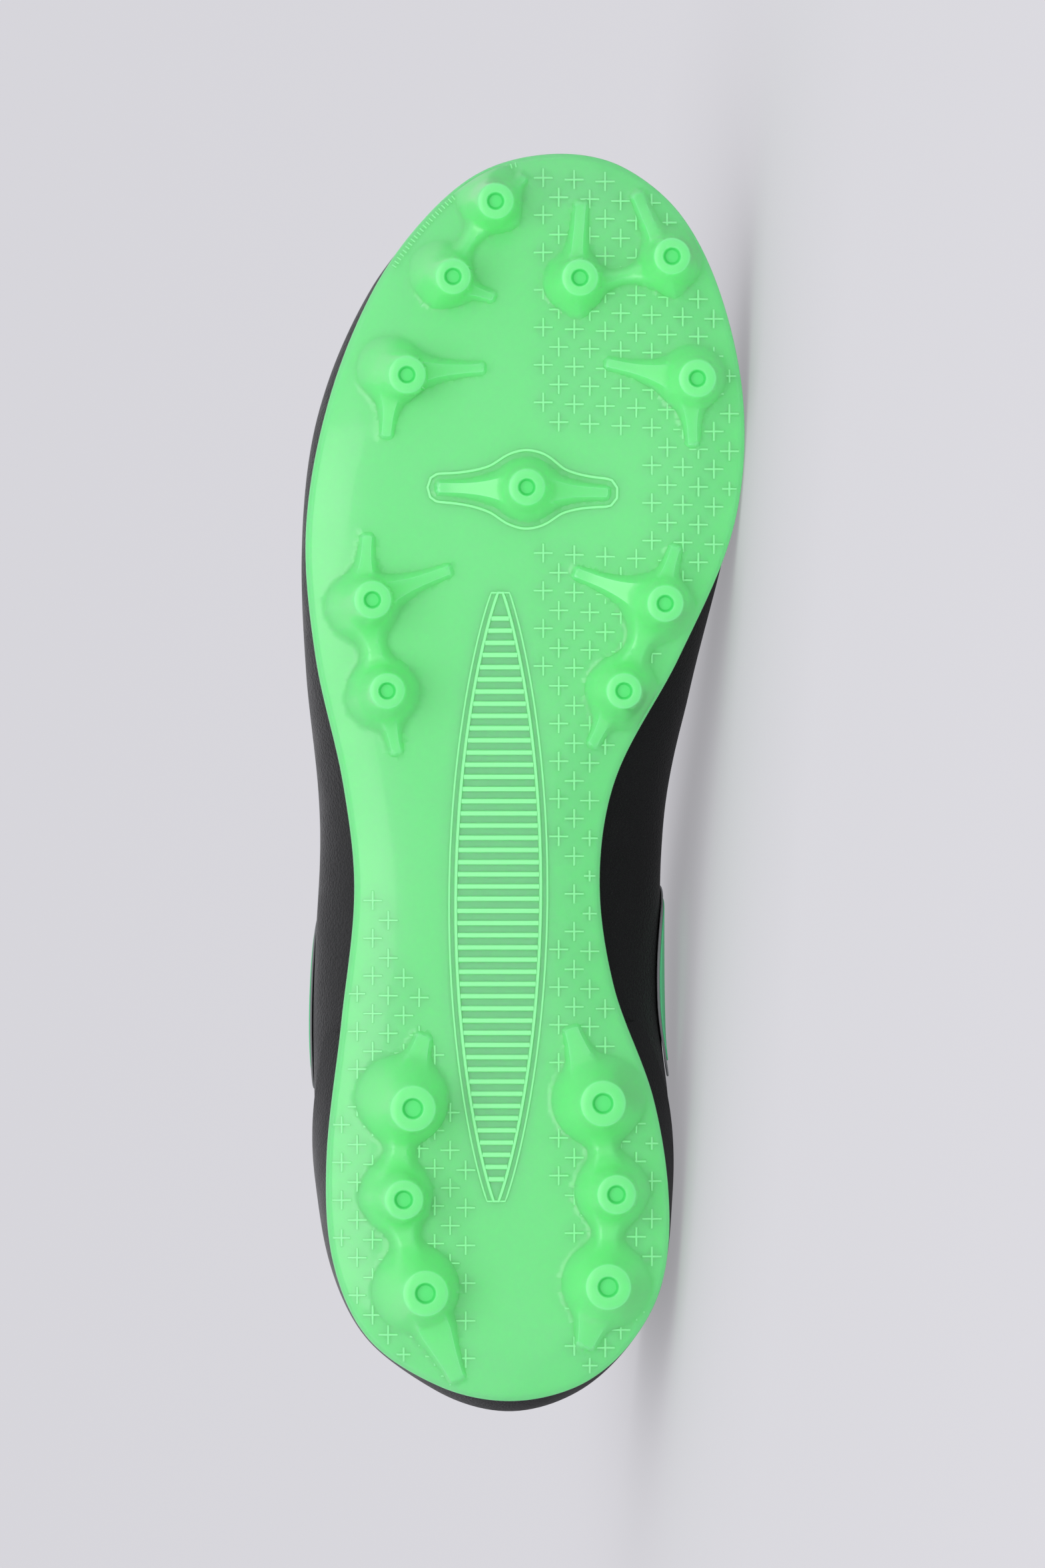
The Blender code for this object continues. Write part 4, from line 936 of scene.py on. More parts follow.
SOLE_STEPS = 300
SOLE_SPACING = 1.1 * MM
FLANK_SPACING = 0.62 * MM
FOOT_SPACING = 0.40 * MM
CREASE_APART = 0.26 * MM
FOOT_APART = 0.30 * MM
FLANK_APART = 0.42 * MM
RIM_APART = 0.55 * MM
PLAIN_APART = 0.75 * MM
TIP_SEGMENTS = 48
TIP_ROUND = 0.30 * MM
TIP_EASE = 0.10 * MM
TIP_FLAT = 0.35 * MM
RECESS_EDGE = 0.25 * MM
RECESS_CORNER = 0.3 * MM
CREASE_STEP = 0.45 * MM
STUD_CLOSE = 13 * MM
RIDGE_CLOSE = 3 * MM
FOOT_BAND = (-0.45 * MM, 0.75 * MM)
FLANK_FROM = 0.2 * MM
RIM_CLEAR = 0.5 * MM
PLAIN_CLEAR = 2.2 * MM
RIM_RINGS = (0.7 * MM, 1.5 * MM)
TIP_CLEAR = 0.15 * MM
FREE_CLEAR = 0.45 * MM
SIDE_ROUND = 0.45 * MM
GROOVE = 0.35 * MM
GROOVE_STEPS = ((0, 0.0), (GROOVE, 0.3 * MM), (GROOVE, 0.7 * MM), (0, 1.0 * MM))


def sole_rings():
    """The fixed rings of each stud's tip: their points and height."""
    for stud in STUD_LIST:
        tip, recess, low = stud.tip_radius, stud.recess_radius, stud.recess_radius - RECESS_DRAFT
        for radius, height in (
            (tip, TIP_ROUND),
            (tip - TIP_EASE, TIP_EASE),
            (tip - TIP_FLAT, 0),
            (recess + RECESS_EDGE, 0),
            (recess, RECESS_EDGE),
            (low, RECESS_DEPTH - RECESS_CORNER),
            (low - RECESS_CORNER, RECESS_DEPTH),
        ):
            yield circle(stud.tip, radius, TIP_SEGMENTS), stud.tip_level + height


def sole_crease_points():
    """Points along the top edges of the wings and bridges, so that the mesh follows them."""
    points = []
    for start, end, least, curve in ridge_segments():
        span = end - start
        length = np.linalg.norm(span)
        across = np.array([-span[1], span[0]]) / length
        for run in np.append(np.arange(0, length, CREASE_STEP), length):
            u = run / length
            height, half = ridge_shape(u, least, curve)
            points.append(np.array([start + u * span + side * half * across for side in (-1, 1)]))
            if curve and u > 0.999:
                points.append(np.array([end + side * half * across for side in (-0.5, 0, 0.5)]))
    return np.vstack(points)


def sole_points():
    """Plan points for the sole's underside: close along the forms' feet and edges, wider on the plate."""

    def near_forms(spacing):
        points = fill_points(EDGE_ROUND + RIM_CLEAR, spacing)
        close = np.zeros(len(points), bool)
        for stud in STUD_LIST:
            close |= np.linalg.norm(points - stud.base, axis=1) < STUD_CLOSE
        for start, end, _, _ in ridge_segments():
            reach = np.linalg.norm(end - start) / 2 + RIDGE_CLOSE
            close |= np.linalg.norm(points - (start + end) / 2, axis=1) < reach
        return points[close], form_height(points[close])

    fine, stands = near_forms(FOOT_SPACING)
    feet = fine[(stands > FOOT_BAND[0]) & (stands < FOOT_BAND[1])]
    middle, stands = near_forms(FLANK_SPACING)
    flanks = middle[stands > FLANK_FROM]
    return sole_crease_points(), feet, flanks, fill_points(EDGE_ROUND + PLAIN_CLEAR, SOLE_SPACING)


def build_sole():
    """The sole in one mesh: underside with its studs, rounded rim, side and top."""
    border = inset_loop(EDGE_ROUND, SOLE_STEPS)
    fixed, levels, edges = [], [], []
    for ring, level in sole_rings():
        first = len(border) + len(fixed)
        count = len(ring)
        fixed += [tuple(p) for p in ring]
        levels += [level] * count
        edges += [(first + k, first + (k + 1) % count) for k in range(count)]
    rim_rings = [inset_loop(EDGE_ROUND + step, SOLE_STEPS) for step in RIM_RINGS]

    def off_tips(points):
        points = np.asarray(points, float)
        keep = np.ones(len(points), bool)
        for stud in STUD_LIST:
            keep &= np.linalg.norm(points - stud.tip, axis=1) > stud.tip_radius + TIP_CLEAR
        keep &= inside_outline(points)
        keep[keep] = edge_distance(points[keep, 0], points[keep, 1]) > EDGE_ROUND + FREE_CLEAR
        return points[keep]

    creases, feet, flanks, plain = sole_points()
    free = thin_out(off_tips(creases), CREASE_APART)
    free += thin_out(off_tips(feet), FOOT_APART, free)
    free += thin_out(off_tips(flanks), FLANK_APART, free)
    free += thin_out(off_tips(np.vstack(rim_rings)), RIM_APART, free)
    free += thin_out(off_tips(plain), PLAIN_APART, free)
    points = [tuple(p) for p in border] + fixed + [tuple(p) for p in free]
    flat, _, faces, sources, _, _ = delaunay_2d_cdt(
        [Vector(p) for p in points], edges, [list(range(len(border)))], 1, 1e-7
    )
    plan = np.array([tuple(v) for v in flat])
    heights = sole_underside(plan[:, 0], plan[:, 1])
    place_of = {source: k for k, names in enumerate(sources) for source in names}
    for number, level in enumerate(levels):
        heights[place_of[len(border) + number]] = level
    solid = [(*p, z) for p, z in zip(plan, heights)]
    faces = [tuple(face) for face in faces]
    loops = [[place_of[k] for k in range(len(border))]]

    def add_ring(loop, level):
        loops.append(list(range(len(solid), len(solid) + len(loop))))
        solid.extend((*p, z) for p, z in zip(loop, np.broadcast_to(level, len(loop))))

    full = outline_loop(SOLE_STEPS)
    out = outward(full)
    low = plate_underside(full[:, 0], full[:, 1])
    high = plate_top(full[:, 0], 0.0)
    for angle in np.radians((22, 45, 68, 90)):
        add_ring(full - out * EDGE_ROUND * (1 - math.sin(angle)), low + EDGE_ROUND * (1 - math.cos(angle)))
    middle = (low + EDGE_ROUND + high) / 2
    for inset, rise in GROOVE_STEPS:
        add_ring(full - out * inset, middle + rise)
    for angle in np.radians((0, 45, 90)):
        add_ring(full - out * SIDE_ROUND * (1 - math.cos(angle)), high - SIDE_ROUND * (1 - math.sin(angle)))
    for inset in (BED_RIM * 0.5, *BED_RINGS, BED_RINGS[-1] + 3 * MM, BED_RINGS[-1] + 8 * MM):
        loop = full - out * inset
        add_ring(loop, plate_top(loop[:, 0], inset))
    for lower, upper in zip(loops, loops[1:]):
        faces += ring_faces(lower, upper)
    bed = loops[-1]
    for k in range(SOLE_STEPS):
        corners = (bed[k], bed[k + 1], bed[-k - 1], bed[-k])
        faces.append(tuple(dict.fromkeys(corners)))
    sole = mesh_piece("sole", solid, faces)
    settle(sole, SOLE_PLASTIC, ("outsole",), angle=42)
    sole.data.materials.append(RECESS_PLASTIC)
    sole.data.materials.append(UPPER_LEATHER)
    centres = np.empty(len(sole.data.polygons) * 3)
    sole.data.polygons.foreach_get("center", centres)
    back = np.array(SHOE.inverted())
    x, y, z = back[:3, :3] @ centres.reshape(-1, 3).T + back[:3, 3:]
    paints = np.zeros(len(x), int)
    for stud in STUD_LIST:
        aside = np.hypot(x - stud.tip[0], y - stud.tip[1])
        paints[(aside < stud.recess_radius + 0.05 * MM) & (z < stud.tip_level + 3 * MM)] = 1
    above = z > plate_line(x) + PLATE_THICKNESS - BED_DEPTH - 0.2 * MM
    above[above] = edge_distance(x[above], y[above]) > FEATHER_INSET
    paints[above] = 2
    sole.data.polygons.foreach_set("material_index", paints)
    return sole


def drape(points, lift):
    """Puts plan points on the sole's plate, lifted off it."""
    level = plate_underside(points[..., 0], points[..., 1])
    return np.concatenate([points, (level - lift)[..., None]], -1)


BAR_SINK = 0.15 * MM
BAR_TOP = 0.6


class Bars:
    """Raised bars that lie along paths on the sole's underside, gathered into one piece."""

    def __init__(self):
        self.plan, self.lift, self.faces = [], [], []

    def add(self, path, half, height, closed=False):
        """A bar with sloping sides along a path in plan."""
        path = np.asarray(path, float)
        ahead = np.roll(path, -1, 0) if closed else np.vstack([path[1:], path[-1:]])
        behind = np.roll(path, 1, 0) if closed else np.vstack([path[:1], path[:-1]])
        run = unit(ahead - behind)
        across = np.stack([-run[:, 1], run[:, 0]], 1)
        first = sum(len(p) for p in self.plan)
        lanes = []
        for share, lift in ((-1, -BAR_SINK), (-BAR_TOP, height), (BAR_TOP, height), (1, -BAR_SINK)):
            self.plan.append(path + across * half * share)
            self.lift.append(np.full(len(path), lift))
            lanes.append(range(first, first + len(path)))
            first += len(path)
        for lane, following in zip(lanes, lanes[1:]):
            self.faces += ring_faces(lane, following, closed)
        if not closed:
            self.faces += [tuple(lane[k] for lane in lanes) for k in (0, -1)]
        self.faces += ring_faces(lanes[-1], lanes[0], closed)

    def piece(self, name):
        plan, lift = np.vstack(self.plan), np.concatenate(self.lift)
        return mesh_piece(name, drape(plan, lift), self.faces)


SHANK_FROM, SHANK_TO = 0.165, 0.655
SHANK_HALF = 9.6 * MM
SHANK_BORDERS = ((0.0, 0.45 * MM, 0.34 * MM), (1.5 * MM, 0.30 * MM, 0.16 * MM))
SHANK_RIB_PITCH = 2.75 * MM
SHANK_RIB_ENDS = 5 * MM
SHANK_RIB_GAP = 0.35 * MM
SHANK_RIB_LEAST = 1.4 * MM
SHANK_RIB_HALF = 0.70 * MM
SHANK_RIB_HEIGHT = 0.32 * MM
STUD_LINE_CLEAR = 1.5 * MM
STUD_LINE_HALF = 0.40 * MM
STUD_LINE_HEIGHT = 0.26 * MM
TICKS_FROM, TICKS_TO = 8, 38
TICK_PITCH = 1.0 * MM
TICK_REACH = (0.75 * MM, 1.3 * MM, 1.9 * MM)
TICK_HALF = 0.24 * MM
TICK_HEIGHT = 0.16 * MM


def shank_half(x):
    """Half width of the ribbed shank panel under the waist: a long, even spindle."""
    u = (x / SHOE_LENGTH - SHANK_FROM) / (SHANK_TO - SHANK_FROM)
    return SHANK_HALF * np.clip(4 * u * (1 - u), 0, 1) ** 0.85


def shank_middle(x):
    return (-0.055 + 0.02 * (x / SHOE_LENGTH - 0.45)) * BALL_WIDTH


def foot_line(start, end, clear):
    """The line that runs round the foot of a form along an axis, at a clear distance from it."""
    span = end - start
    length = np.linalg.norm(span)
    ahead = span / length
    across = np.array([-ahead[1], ahead[0]])
    runs = np.linspace(0, length, 90)
    reach = np.linspace(0, 13 * MM, 260)
    sides = []
    for side in (1, -1):
        spots = start + runs[:, None, None] * ahead + side * reach[None, :, None] * across
        stands = form_height(spots) > 0
        wide = reach[stands.shape[1] - 1 - np.argmax(stands[:, ::-1], axis=1)]
        line = start + runs[:, None] * ahead + side * wide[:, None] * across
        run = np.gradient(line, axis=0)
        line = line + clear * unit(np.stack([-run[:, 1], run[:, 0]], 1) * side)
        for _ in range(3):
            line[1:-1] = (line[:-2] + 2 * line[1:-1] + line[2:]) / 4
        sides.append(line)
    angles = np.linspace(0, math.pi, 9)[1:-1]
    far = np.linalg.norm(sides[0][-1] - end)
    near = np.linalg.norm(sides[0][0] - start)
    far_cap = [end + far * (math.cos(t) * across + 0.75 * math.sin(t) * ahead) for t in angles]
    near_cap = [start - near * (math.cos(t) * across + 0.75 * math.sin(t) * ahead) for t in angles]
    return np.vstack([sides[0], far_cap, sides[1][::-1], near_cap])


def build_sole_ribs():
    """The fine ribs: the shank panel and its border, the line round the middle stud, the toe's ticks."""
    bars = Bars()
    x = np.linspace(SHANK_FROM, SHANK_TO, 120)[1:-1] * SHOE_LENGTH
    for clear, half, height in SHANK_BORDERS:
        upper_side = np.stack([x, shank_middle(x) + shank_half(x) + clear], 1)
        lower_side = np.stack([x, shank_middle(x) - shank_half(x) - clear], 1)
        bars.add(np.vstack([upper_side, lower_side[::-1]]), half, height, closed=True)
    for place in np.arange(x[0] + SHANK_RIB_ENDS, x[-1] - SHANK_RIB_ENDS, SHANK_RIB_PITCH):
        reach = shank_half(place) - SHANK_RIB_GAP
        if reach > SHANK_RIB_LEAST:
            across = shank_middle(place) + np.linspace(-reach, reach, 10)
            bars.add(np.stack([np.full(10, place), across], 1), SHANK_RIB_HALF, SHANK_RIB_HEIGHT)
    ends = [wing[1:3] * np.array((SHOE_LENGTH, BALL_WIDTH)) for wing in WINGS if wing[0] == "ball_centre"]
    low, high = sorted(ends, key=lambda p: p[1])
    bars.add(foot_line(low, high, STUD_LINE_CLEAR)[::2], STUD_LINE_HALF, STUD_LINE_HEIGHT, closed=True)
    rim = DENSE_OUTLINE[TOE_APEX + TICKS_FROM : TOE_APEX + TICKS_TO]
    edge = evenly(rim, int(run_along(rim)[-1] / TICK_PITCH))
    run = np.gradient(edge, axis=0)
    inwards = unit(np.stack([-run[:, 1], run[:, 0]], 1))
    inwards *= np.sign(((np.array([150, 0]) * MM - edge) * inwards).sum())
    for spot, way in zip(edge, inwards):
        bars.add([spot + way * reach for reach in TICK_REACH], TICK_HALF, TICK_HEIGHT)
    # The ribs, line and ticks get the paler green, a painted highlight.
    return settle(bars.piece("sole_ribs"), RIB_PLASTIC_PAINTED_HIGHLIGHT, angle=30)


MARK_ROWS = 4.25 * MM
MARK_COLUMNS = 3.5 * MM
MARK_ARM = 2.25 * MM
MARK_HALF = 0.29 * MM
MARK_SLOPE = 0.16 * MM
MARK_SINK = 0.04 * MM
MARK_RISE = 0.13 * MM
MARK_LEAN = 0.06
MARK_SHIFT = 1.2 * MM
MARK_FROM_EDGE = 2.2 * MM
MARK_TIP_CLEAR = 0.9 * MM
MARK_FROM_PANEL = 4.2 * MM
MARK_CLEARING = (12 * MM, 25 * MM)


def has_marks(x, y):
    """Where the sole carries its fine crosses: the inner forefoot, both sides of the waist, and the heel."""
    share = x / SHOE_LENGTH
    inner_edge = np.array((9, 8, 6.5, 5, 4)) * MM
    outer_edge = np.array((1, -4, -11, -12, -21, -31, -40)) * MM
    inner = y > np.interp(share, (0.0, 0.2, 0.28, 0.30, 1.0), inner_edge)
    outer = y < np.interp(share, (0.0, 0.08, 0.12, 0.25, 0.32, 0.41, 0.46), outer_edge)
    return inner | (outer & (share < 0.46))


def build_sole_marks():
    """The small raised crosses, set like bricks, that run in under the feet of the studs."""
    arm, half = MARK_ARM, MARK_HALF
    shape = np.array((
        (half, half), (half, arm), (-half, arm), (-half, half), (-arm, half), (-arm, -half), (-half, -half),
        (-half, -arm), (half, -arm), (half, -half), (arm, -half), (arm, half),
    ))
    sides = len(shape)
    centres = []
    for row, x in enumerate(np.arange(3.5 * MM, SHOE_LENGTH, MARK_ROWS)):
        for column in range(-16, 17):
            if (row + column) % 2 == 0:
                y = column * MARK_COLUMNS + MARK_SHIFT
                centres.append((x - MARK_LEAN * y, y))
    centres = np.array(centres)
    centres = centres[inside_outline(centres)]
    centres = centres[edge_distance(centres[:, 0], centres[:, 1]) > MARK_FROM_EDGE]
    centres = centres[has_marks(centres[:, 0], centres[:, 1])]
    centres = centres[(form_height(centres[:, None] + shape) < 0).sum(1) > 2]
    reach = np.abs(centres[:, 1] - shank_middle(centres[:, 0])) - shank_half(centres[:, 0])
    centres = centres[reach > MARK_FROM_PANEL]
    aside = np.abs(centres - STUD_NAMED["ball_centre"].base)
    centres = centres[(aside > MARK_CLEARING).any(1)]
    room = (edge_distance(centres[:, 0], centres[:, 1]) - MARK_TIP_CLEAR) / arm
    fitted = np.maximum(np.abs(shape) * np.clip(room, 0.3, 1)[:, None, None], half) * np.sign(shape)
    base = centres[:, None] + fitted
    top = base - np.sign(shape) * MARK_SLOPE
    solid = np.concatenate([drape(base, -MARK_SINK), drape(top, MARK_RISE)], 1)
    faces = []
    for number in range(len(centres)):
        first = number * 2 * sides
        low, high = range(first, first + sides), range(first + sides, first + 2 * sides)
        faces += ring_faces(low, high)
        for part in ((0, 3, 6, 9), (0, 1, 2, 3), (3, 4, 5, 6), (6, 7, 8, 9), (9, 10, 11, 0)):
            faces.append(tuple(high[k] for k in part))
            faces.append(tuple(low[k] for k in part[::-1]))
    marks = mesh_piece("sole_marks", solid.reshape(-1, 3), faces)
    # The crosses get the paler green, a painted highlight.
    return settle(marks, RIB_PLASTIC_PAINTED_HIGHLIGHT, angle=20)


UPPER_COLUMNS = 320
UPPER_OUTER_ROWS = 72
UPPER_INNER_ROWS = 30
FOOT_TUCK = 0.25 * MM
TUCK_FADE = 60
EDGE_PROBE = 0.985
ROLL_SINK = 0.9


def build_upper():
    """The upper: one leather wall, rolled over along the collar and throat."""
    turns = np.arange(UPPER_COLUMNS) / UPPER_COLUMNS
    rows = []
    for up in np.linspace(0, 1, UPPER_OUTER_ROWS):
        rows.append(skin(turns, up, -FOOT_TUCK * math.exp(-up * TUCK_FADE))[0])
    edge, out = skin(turns, 1.0)
    climb = unit(edge - skin(turns, EDGE_PROBE)[0])
    for angle in np.radians((30, 60, 90, 120, 150)):
        drop = WALL / 2 * (1 - math.cos(angle))
        rows.append(edge - out * drop + climb * (math.sin(angle) - ROLL_SINK) * WALL / 2)
    for up in np.linspace(1, 0, UPPER_INNER_ROWS):
        rows.append(skin(turns, up, -WALL)[0])
    for foot in (rows[0], rows[-1]):
        foot[:, 2] -= GAP + 0.05 * MM
    upper = grid_piece("upper_shell", np.array(rows), close_rows=True, close_columns=True)
    cut_eyelets(upper)
    return settle(upper, UPPER_LEATHER, ("upper",), angle=50)


def at_eyelets(name, offset, add, **sizes):
    """One primitive at each eyelet, square to the upper there, all joined into one piece."""
    made = []
    for side in (1, -1):
        for along in EYELETS_ALONG:
            centre, out = skin(side_turn(along, side), 1 - EYELET_DROP, offset)
            deselect()
            add(location=centre, **sizes)
            made.append(bpy.context.object)
            made[-1].rotation_euler = Vector(out).to_track_quat("Z", "Y").to_euler()
    return joined(made, name)


def cut_eyelets(piece):
    """Cuts the eyelet holes through a piece with one mesh of round pins."""
    add = bpy.ops.mesh.primitive_cylinder_add
    pins = at_eyelets("eyelet_pins", 0.0, add, vertices=20, radius=EYELET_RADIUS, depth=10 * MM)
    cut = piece.modifiers.new("eyelets", "BOOLEAN")
    cut.operation = "DIFFERENCE"
    cut.object = pins
    apply_modifiers(piece)
    bpy.data.objects.remove(pins)


def build_overlay(name, turns, ups, thickness, paint, node):
    """A leather patch on the upper in place of a node, from a grid of places, with rounded edges."""
    spots, outs = skin(turns, ups, GAP * 0.5)
    patch = grid_piece(name, spots)
    normals_out(patch)
    face = patch.data.polygons[len(patch.data.polygons) // 2]
    nearest = np.argmin(((spots.reshape(-1, 3) - np.array(face.center)) ** 2).sum(1))
    if Vector(outs.reshape(-1, 3)[nearest]).dot(face.normal) < 0:
        patch.data.flip_normals()
    thicken(patch, thickness, 0.3 * MM)
    if node == "eyestay":
        cut_eyelets(patch)
    return settle(patch, paint, (node,), angle=40)


EYESTAY_FROM = EYESTAY_START / (2 * SIDE_STEPS)
EYESTAY_LOW = 1 - (EYESTAY_ROWS - 1) / (UPPER_ROWS - 1)


def build_eyestay():
    around = np.linspace(EYESTAY_FROM, 1 - EYESTAY_FROM, 200)
    turns, ups = np.meshgrid(around, np.linspace(EYESTAY_LOW, 0.992, 16))
    return build_overlay("eyestay_band", turns, ups, OVERLAY, EYESTAY_LEATHER, "eyestay")


def counter_places(columns, rows):
    reach = COUNTER_STEPS / SIDE_STEPS
    along = np.linspace(-reach, reach, columns)
    top = curve_through(COUNTER_EDGE)(np.abs(along))
    share = np.linspace(0, 1, rows)[:, None]
    return np.broadcast_to(along / 2, (rows, columns)), COUNTER_FOOT + (top - COUNTER_FOOT) * share


def build_counter():
    turns, ups = counter_places(150, 40)
    return build_overlay("heel_cup", turns, ups, COUNTER_OVERLAY, COUNTER_LEATHER, "heel_counter")


def panel_places(side, scale, rings=10, count=72):
    """Places of an oval round the panel's centre, ring by ring from its middle."""
    along, up = PANEL_CENTRE
    share = np.linspace(0.0, 1.0, rings)[:, None] * scale
    angle = np.arange(count) * 2 * math.pi / count
    shift = PANEL_HALF_LENGTH * share * np.cos(angle)
    ups = up + PANEL_LEAN * shift + PANEL_HALF_HEIGHT * share * np.sin(angle)
    places = along + shift
    return (places / 2 if side > 0 else 1 - places / 2), ups


def build_panels():
    """The plain oval trim on each side, with its grey border."""
    for label, side in (("inner", 1), ("outer", -1)):
        for kind, scale, base, thickness, paint in (
            ("border", 1.0, GAP, 0.45 * MM, PANEL_GREY),
            ("field", 0.86, GAP + 0.40 * MM, 0.35 * MM, PANEL_GREEN),
        ):
            turns, ups = panel_places(side, scale)
            points, outs = skin(turns, ups, base)
            patch = grid_piece(f"side_{kind}_{label}", points[1:], close_columns=True)
            only(patch)
            bpy.ops.object.mode_set(mode="EDIT")
            bpy.ops.mesh.select_mode(type="EDGE")
            bpy.ops.mesh.select_all(action="DESELECT")
            bpy.ops.object.mode_set(mode="OBJECT")
            middle = Vector(points[0, 0])
            ring = (Vector(points[1, 0]) - middle).length * 1.6
            for edge in patch.data.edges:
                ends = [patch.data.vertices[k].co for k in edge.vertices]
                edge.select = all((end - middle).length < ring for end in ends)
            bpy.ops.object.mode_set(mode="EDIT")
            bpy.ops.mesh.edge_face_add()
            bpy.ops.mesh.select_all(action="SELECT")
            bpy.ops.mesh.normals_make_consistent(inside=False)
            bpy.ops.object.mode_set(mode="OBJECT")
            if patch.data.polygons[0].normal.dot(Vector(outs[1, 0])) < 0:
                patch.data.flip_normals()
            thicken(patch, thickness, 0.15 * MM)
            node = f"side_panel_{label}"
            settle(patch, paint, (node,), angle=40)


def soft_copy(name, node, levels=2):
    """A rounded copy of a CAD node: merged, made of quads, and subdivided."""
    deselect()
    piece = frame["nodes"][node].copy()
    piece.data = frame["nodes"][node].data.copy()
    for key in list(piece.keys()):
        del piece[key]
    piece.parent = None
    piece.hide_render = False
    piece.hide_viewport = False
    piece.name = piece.data.name = name
    bpy.context.scene.collection.objects.link(piece)
    only(piece)
    bpy.ops.object.mode_set(mode="EDIT")
    bpy.ops.mesh.select_all(action="SELECT")
    bpy.ops.mesh.remove_doubles(threshold=0.00001)
    bpy.ops.mesh.tris_convert_to_quads(face_threshold=math.radians(60), shape_threshold=math.radians(60))
    bpy.ops.object.mode_set(mode="OBJECT")
    bpy.ops.mesh.customdata_custom_splitnormals_clear()
    round_off = piece.modifiers.new("round", "SUBSURF")
    round_off.levels = round_off.render_levels = levels
    apply_modifiers(piece)
    clear_maps(piece)
    add_flat_map(piece)
    return piece


def add_flat_map(piece):
    """A cloth map laid on by the shoe's own axes, each face from the side that it faces."""
    back = SHOE.inverted()
    layer = piece.data.uv_layers.new(name="cloth")
    turn = np.array(back.to_3x3())
    co = vertex_places(piece) @ turn.T + np.array(back.translation)
    uv = np.empty((len(piece.data.loops), 2))
    for face in piece.data.polygons:
        normal = np.abs(turn @ np.array(face.normal))
        axes = ((1, 2), (0, 2), (0, 1))[int(np.argmax(normal))]
        for loop in face.loop_indices:
            uv[loop] = co[piece.data.loops[loop].vertex_index][list(axes)]
    layer.data.foreach_set("uv", uv.ravel())


def build_soft_pieces():
    lining = soft_copy("collar_pad", "collar_lining")
    settle(lining, LINING_CLOTH, ("collar_lining",), laid=True)
    tongue = soft_copy("tongue_pad", "tongue")
    settle(tongue, TONGUE_CLOTH, ("tongue",), laid=True)
    settle(soft_copy("sock_liner", "insole", 1), INSOLE_CLOTH, ("insole",), laid=True)


LACE_PLACES = 64
LACE_SIDES = 20


def lace_path(first, second, lift):
    """A lace's middle line from one eyelet over the throat to the other, with its outward directions."""
    clear = OVERLAY + LACE_CLEARANCE + LACE_THICKNESS * 0.3 + lift
    halves = []
    for (along, side), (far, _) in ((first, second), (second, first)):
        stops = (
            (along, 1 - EYELET_DROP, -WALL * 0.6),
            (along, 1 - EYELET_DROP, OVERLAY + 0.2 * MM),
            (0.97 * along + 0.03 * far, 1 - EYELET_DROP * 0.62, clear),
            (0.85 * along + 0.15 * far, 1.0, clear),
        )
        halves.append([skin(side_turn(a, side), up, offset) for a, up, offset in stops])
    near, far = halves
    rim, far_rim = near[-1][0], far[-1][0]
    over = unit(near[-1][1] + far[-1][1])
    middle = (rim + far_rim) / 2 + over * (LACE_CROWN * np.linalg.norm(rim - far_rim) + LACE_THICKNESS)
    stations = [p for p, _ in near] + [middle] + [p for p, _ in far[::-1]]
    outs = [n for _, n in near] + [over] + [n for _, n in far[::-1]]
    run = run_along(stations)
    places = np.linspace(0, run[-1], LACE_PLACES)
    path = np.stack([curve_through(list(zip(run, [p[k] for p in stations])))(places) for k in range(3)], 1)
    out = np.stack([curve_through(list(zip(run, [n[k] for n in outs])))(places) for k in range(3)], 1)
    return path, unit(out), places


def build_laces():
    """The flat laces: straight across at the front, then crossing up to the top eyelets."""
    front = EYELETS_ALONG[-1]
    runs = [((front, 1), (front, -1), 0.0)]
    for near, far in zip(EYELETS_ALONG[1:], EYELETS_ALONG):
        runs += [((near, 1), (far, -1), 0.0), ((far, 1), (near, -1), 0.5 * MM)]
    bars = []
    for number, (first, second, lift) in enumerate(runs):
        path, out, places = lace_path(first, second, lift)
        heading = unit(np.gradient(path, axis=0))
        side = unit(np.cross(heading, out))
        rise = np.cross(side, heading)
        ends = np.minimum(places, places[-1] - places)
        width = (0.52 + 0.48 * smooth_step(ends, 1.5 * MM, 7 * MM)) * LACE_WIDTH / 2
        angles = np.arange(LACE_SIDES) * 2 * math.pi / LACE_SIDES
        ring_side = np.sign(np.cos(angles)) * np.abs(np.cos(angles)) ** 0.6
        ring_rise = np.sign(np.sin(angles)) * np.abs(np.sin(angles)) ** 0.8
        points = (
            path[:, None]
            + side[:, None] * (width[:, None] * ring_side)[..., None]
            + rise[:, None] * (LACE_THICKNESS / 2 * ring_rise)[None, :, None]
        )
        around = LACE_WIDTH * 2.4
        bars.append(grid_piece(f"lace_{number}", points, close_columns=True, uv=(places[-1], around)))
    laces = joined(bars, "lacing")
    normals_out(laces, fill=LACE_SIDES + 4)
    return settle(laces, LACE_CLOTH, ("laces",), angle=60)


def build_eyelets():
    """A small pressed ring in each eyelet hole."""
    rings = at_eyelets(
        "eyelet_rings", OVERLAY + GAP, bpy.ops.mesh.primitive_torus_add,
        major_radius=EYELET_RADIUS + 0.25 * MM, minor_radius=0.42 * MM, major_segments=28, minor_segments=10,
    )
    bpy.ops.object.transform_apply(location=True, rotation=True, scale=True)
    return settle(rings, EYELET_BLACK, angle=60)


STITCH_PITCH = 2.6 * MM
STITCH_LENGTH = 1.9 * MM
STITCH_RADIUS = 0.24 * MM
STITCH_SIDES = 6
SEAM_INSETS = (0.022, 0.046)
EYELET_SEAM = 0.972
COLLAR_SEAMS = (0.935, 0.958)
COUNTER_SEAM_REACH = 0.15
SEAM_END = 0.004
SEAM_PLACES = 400


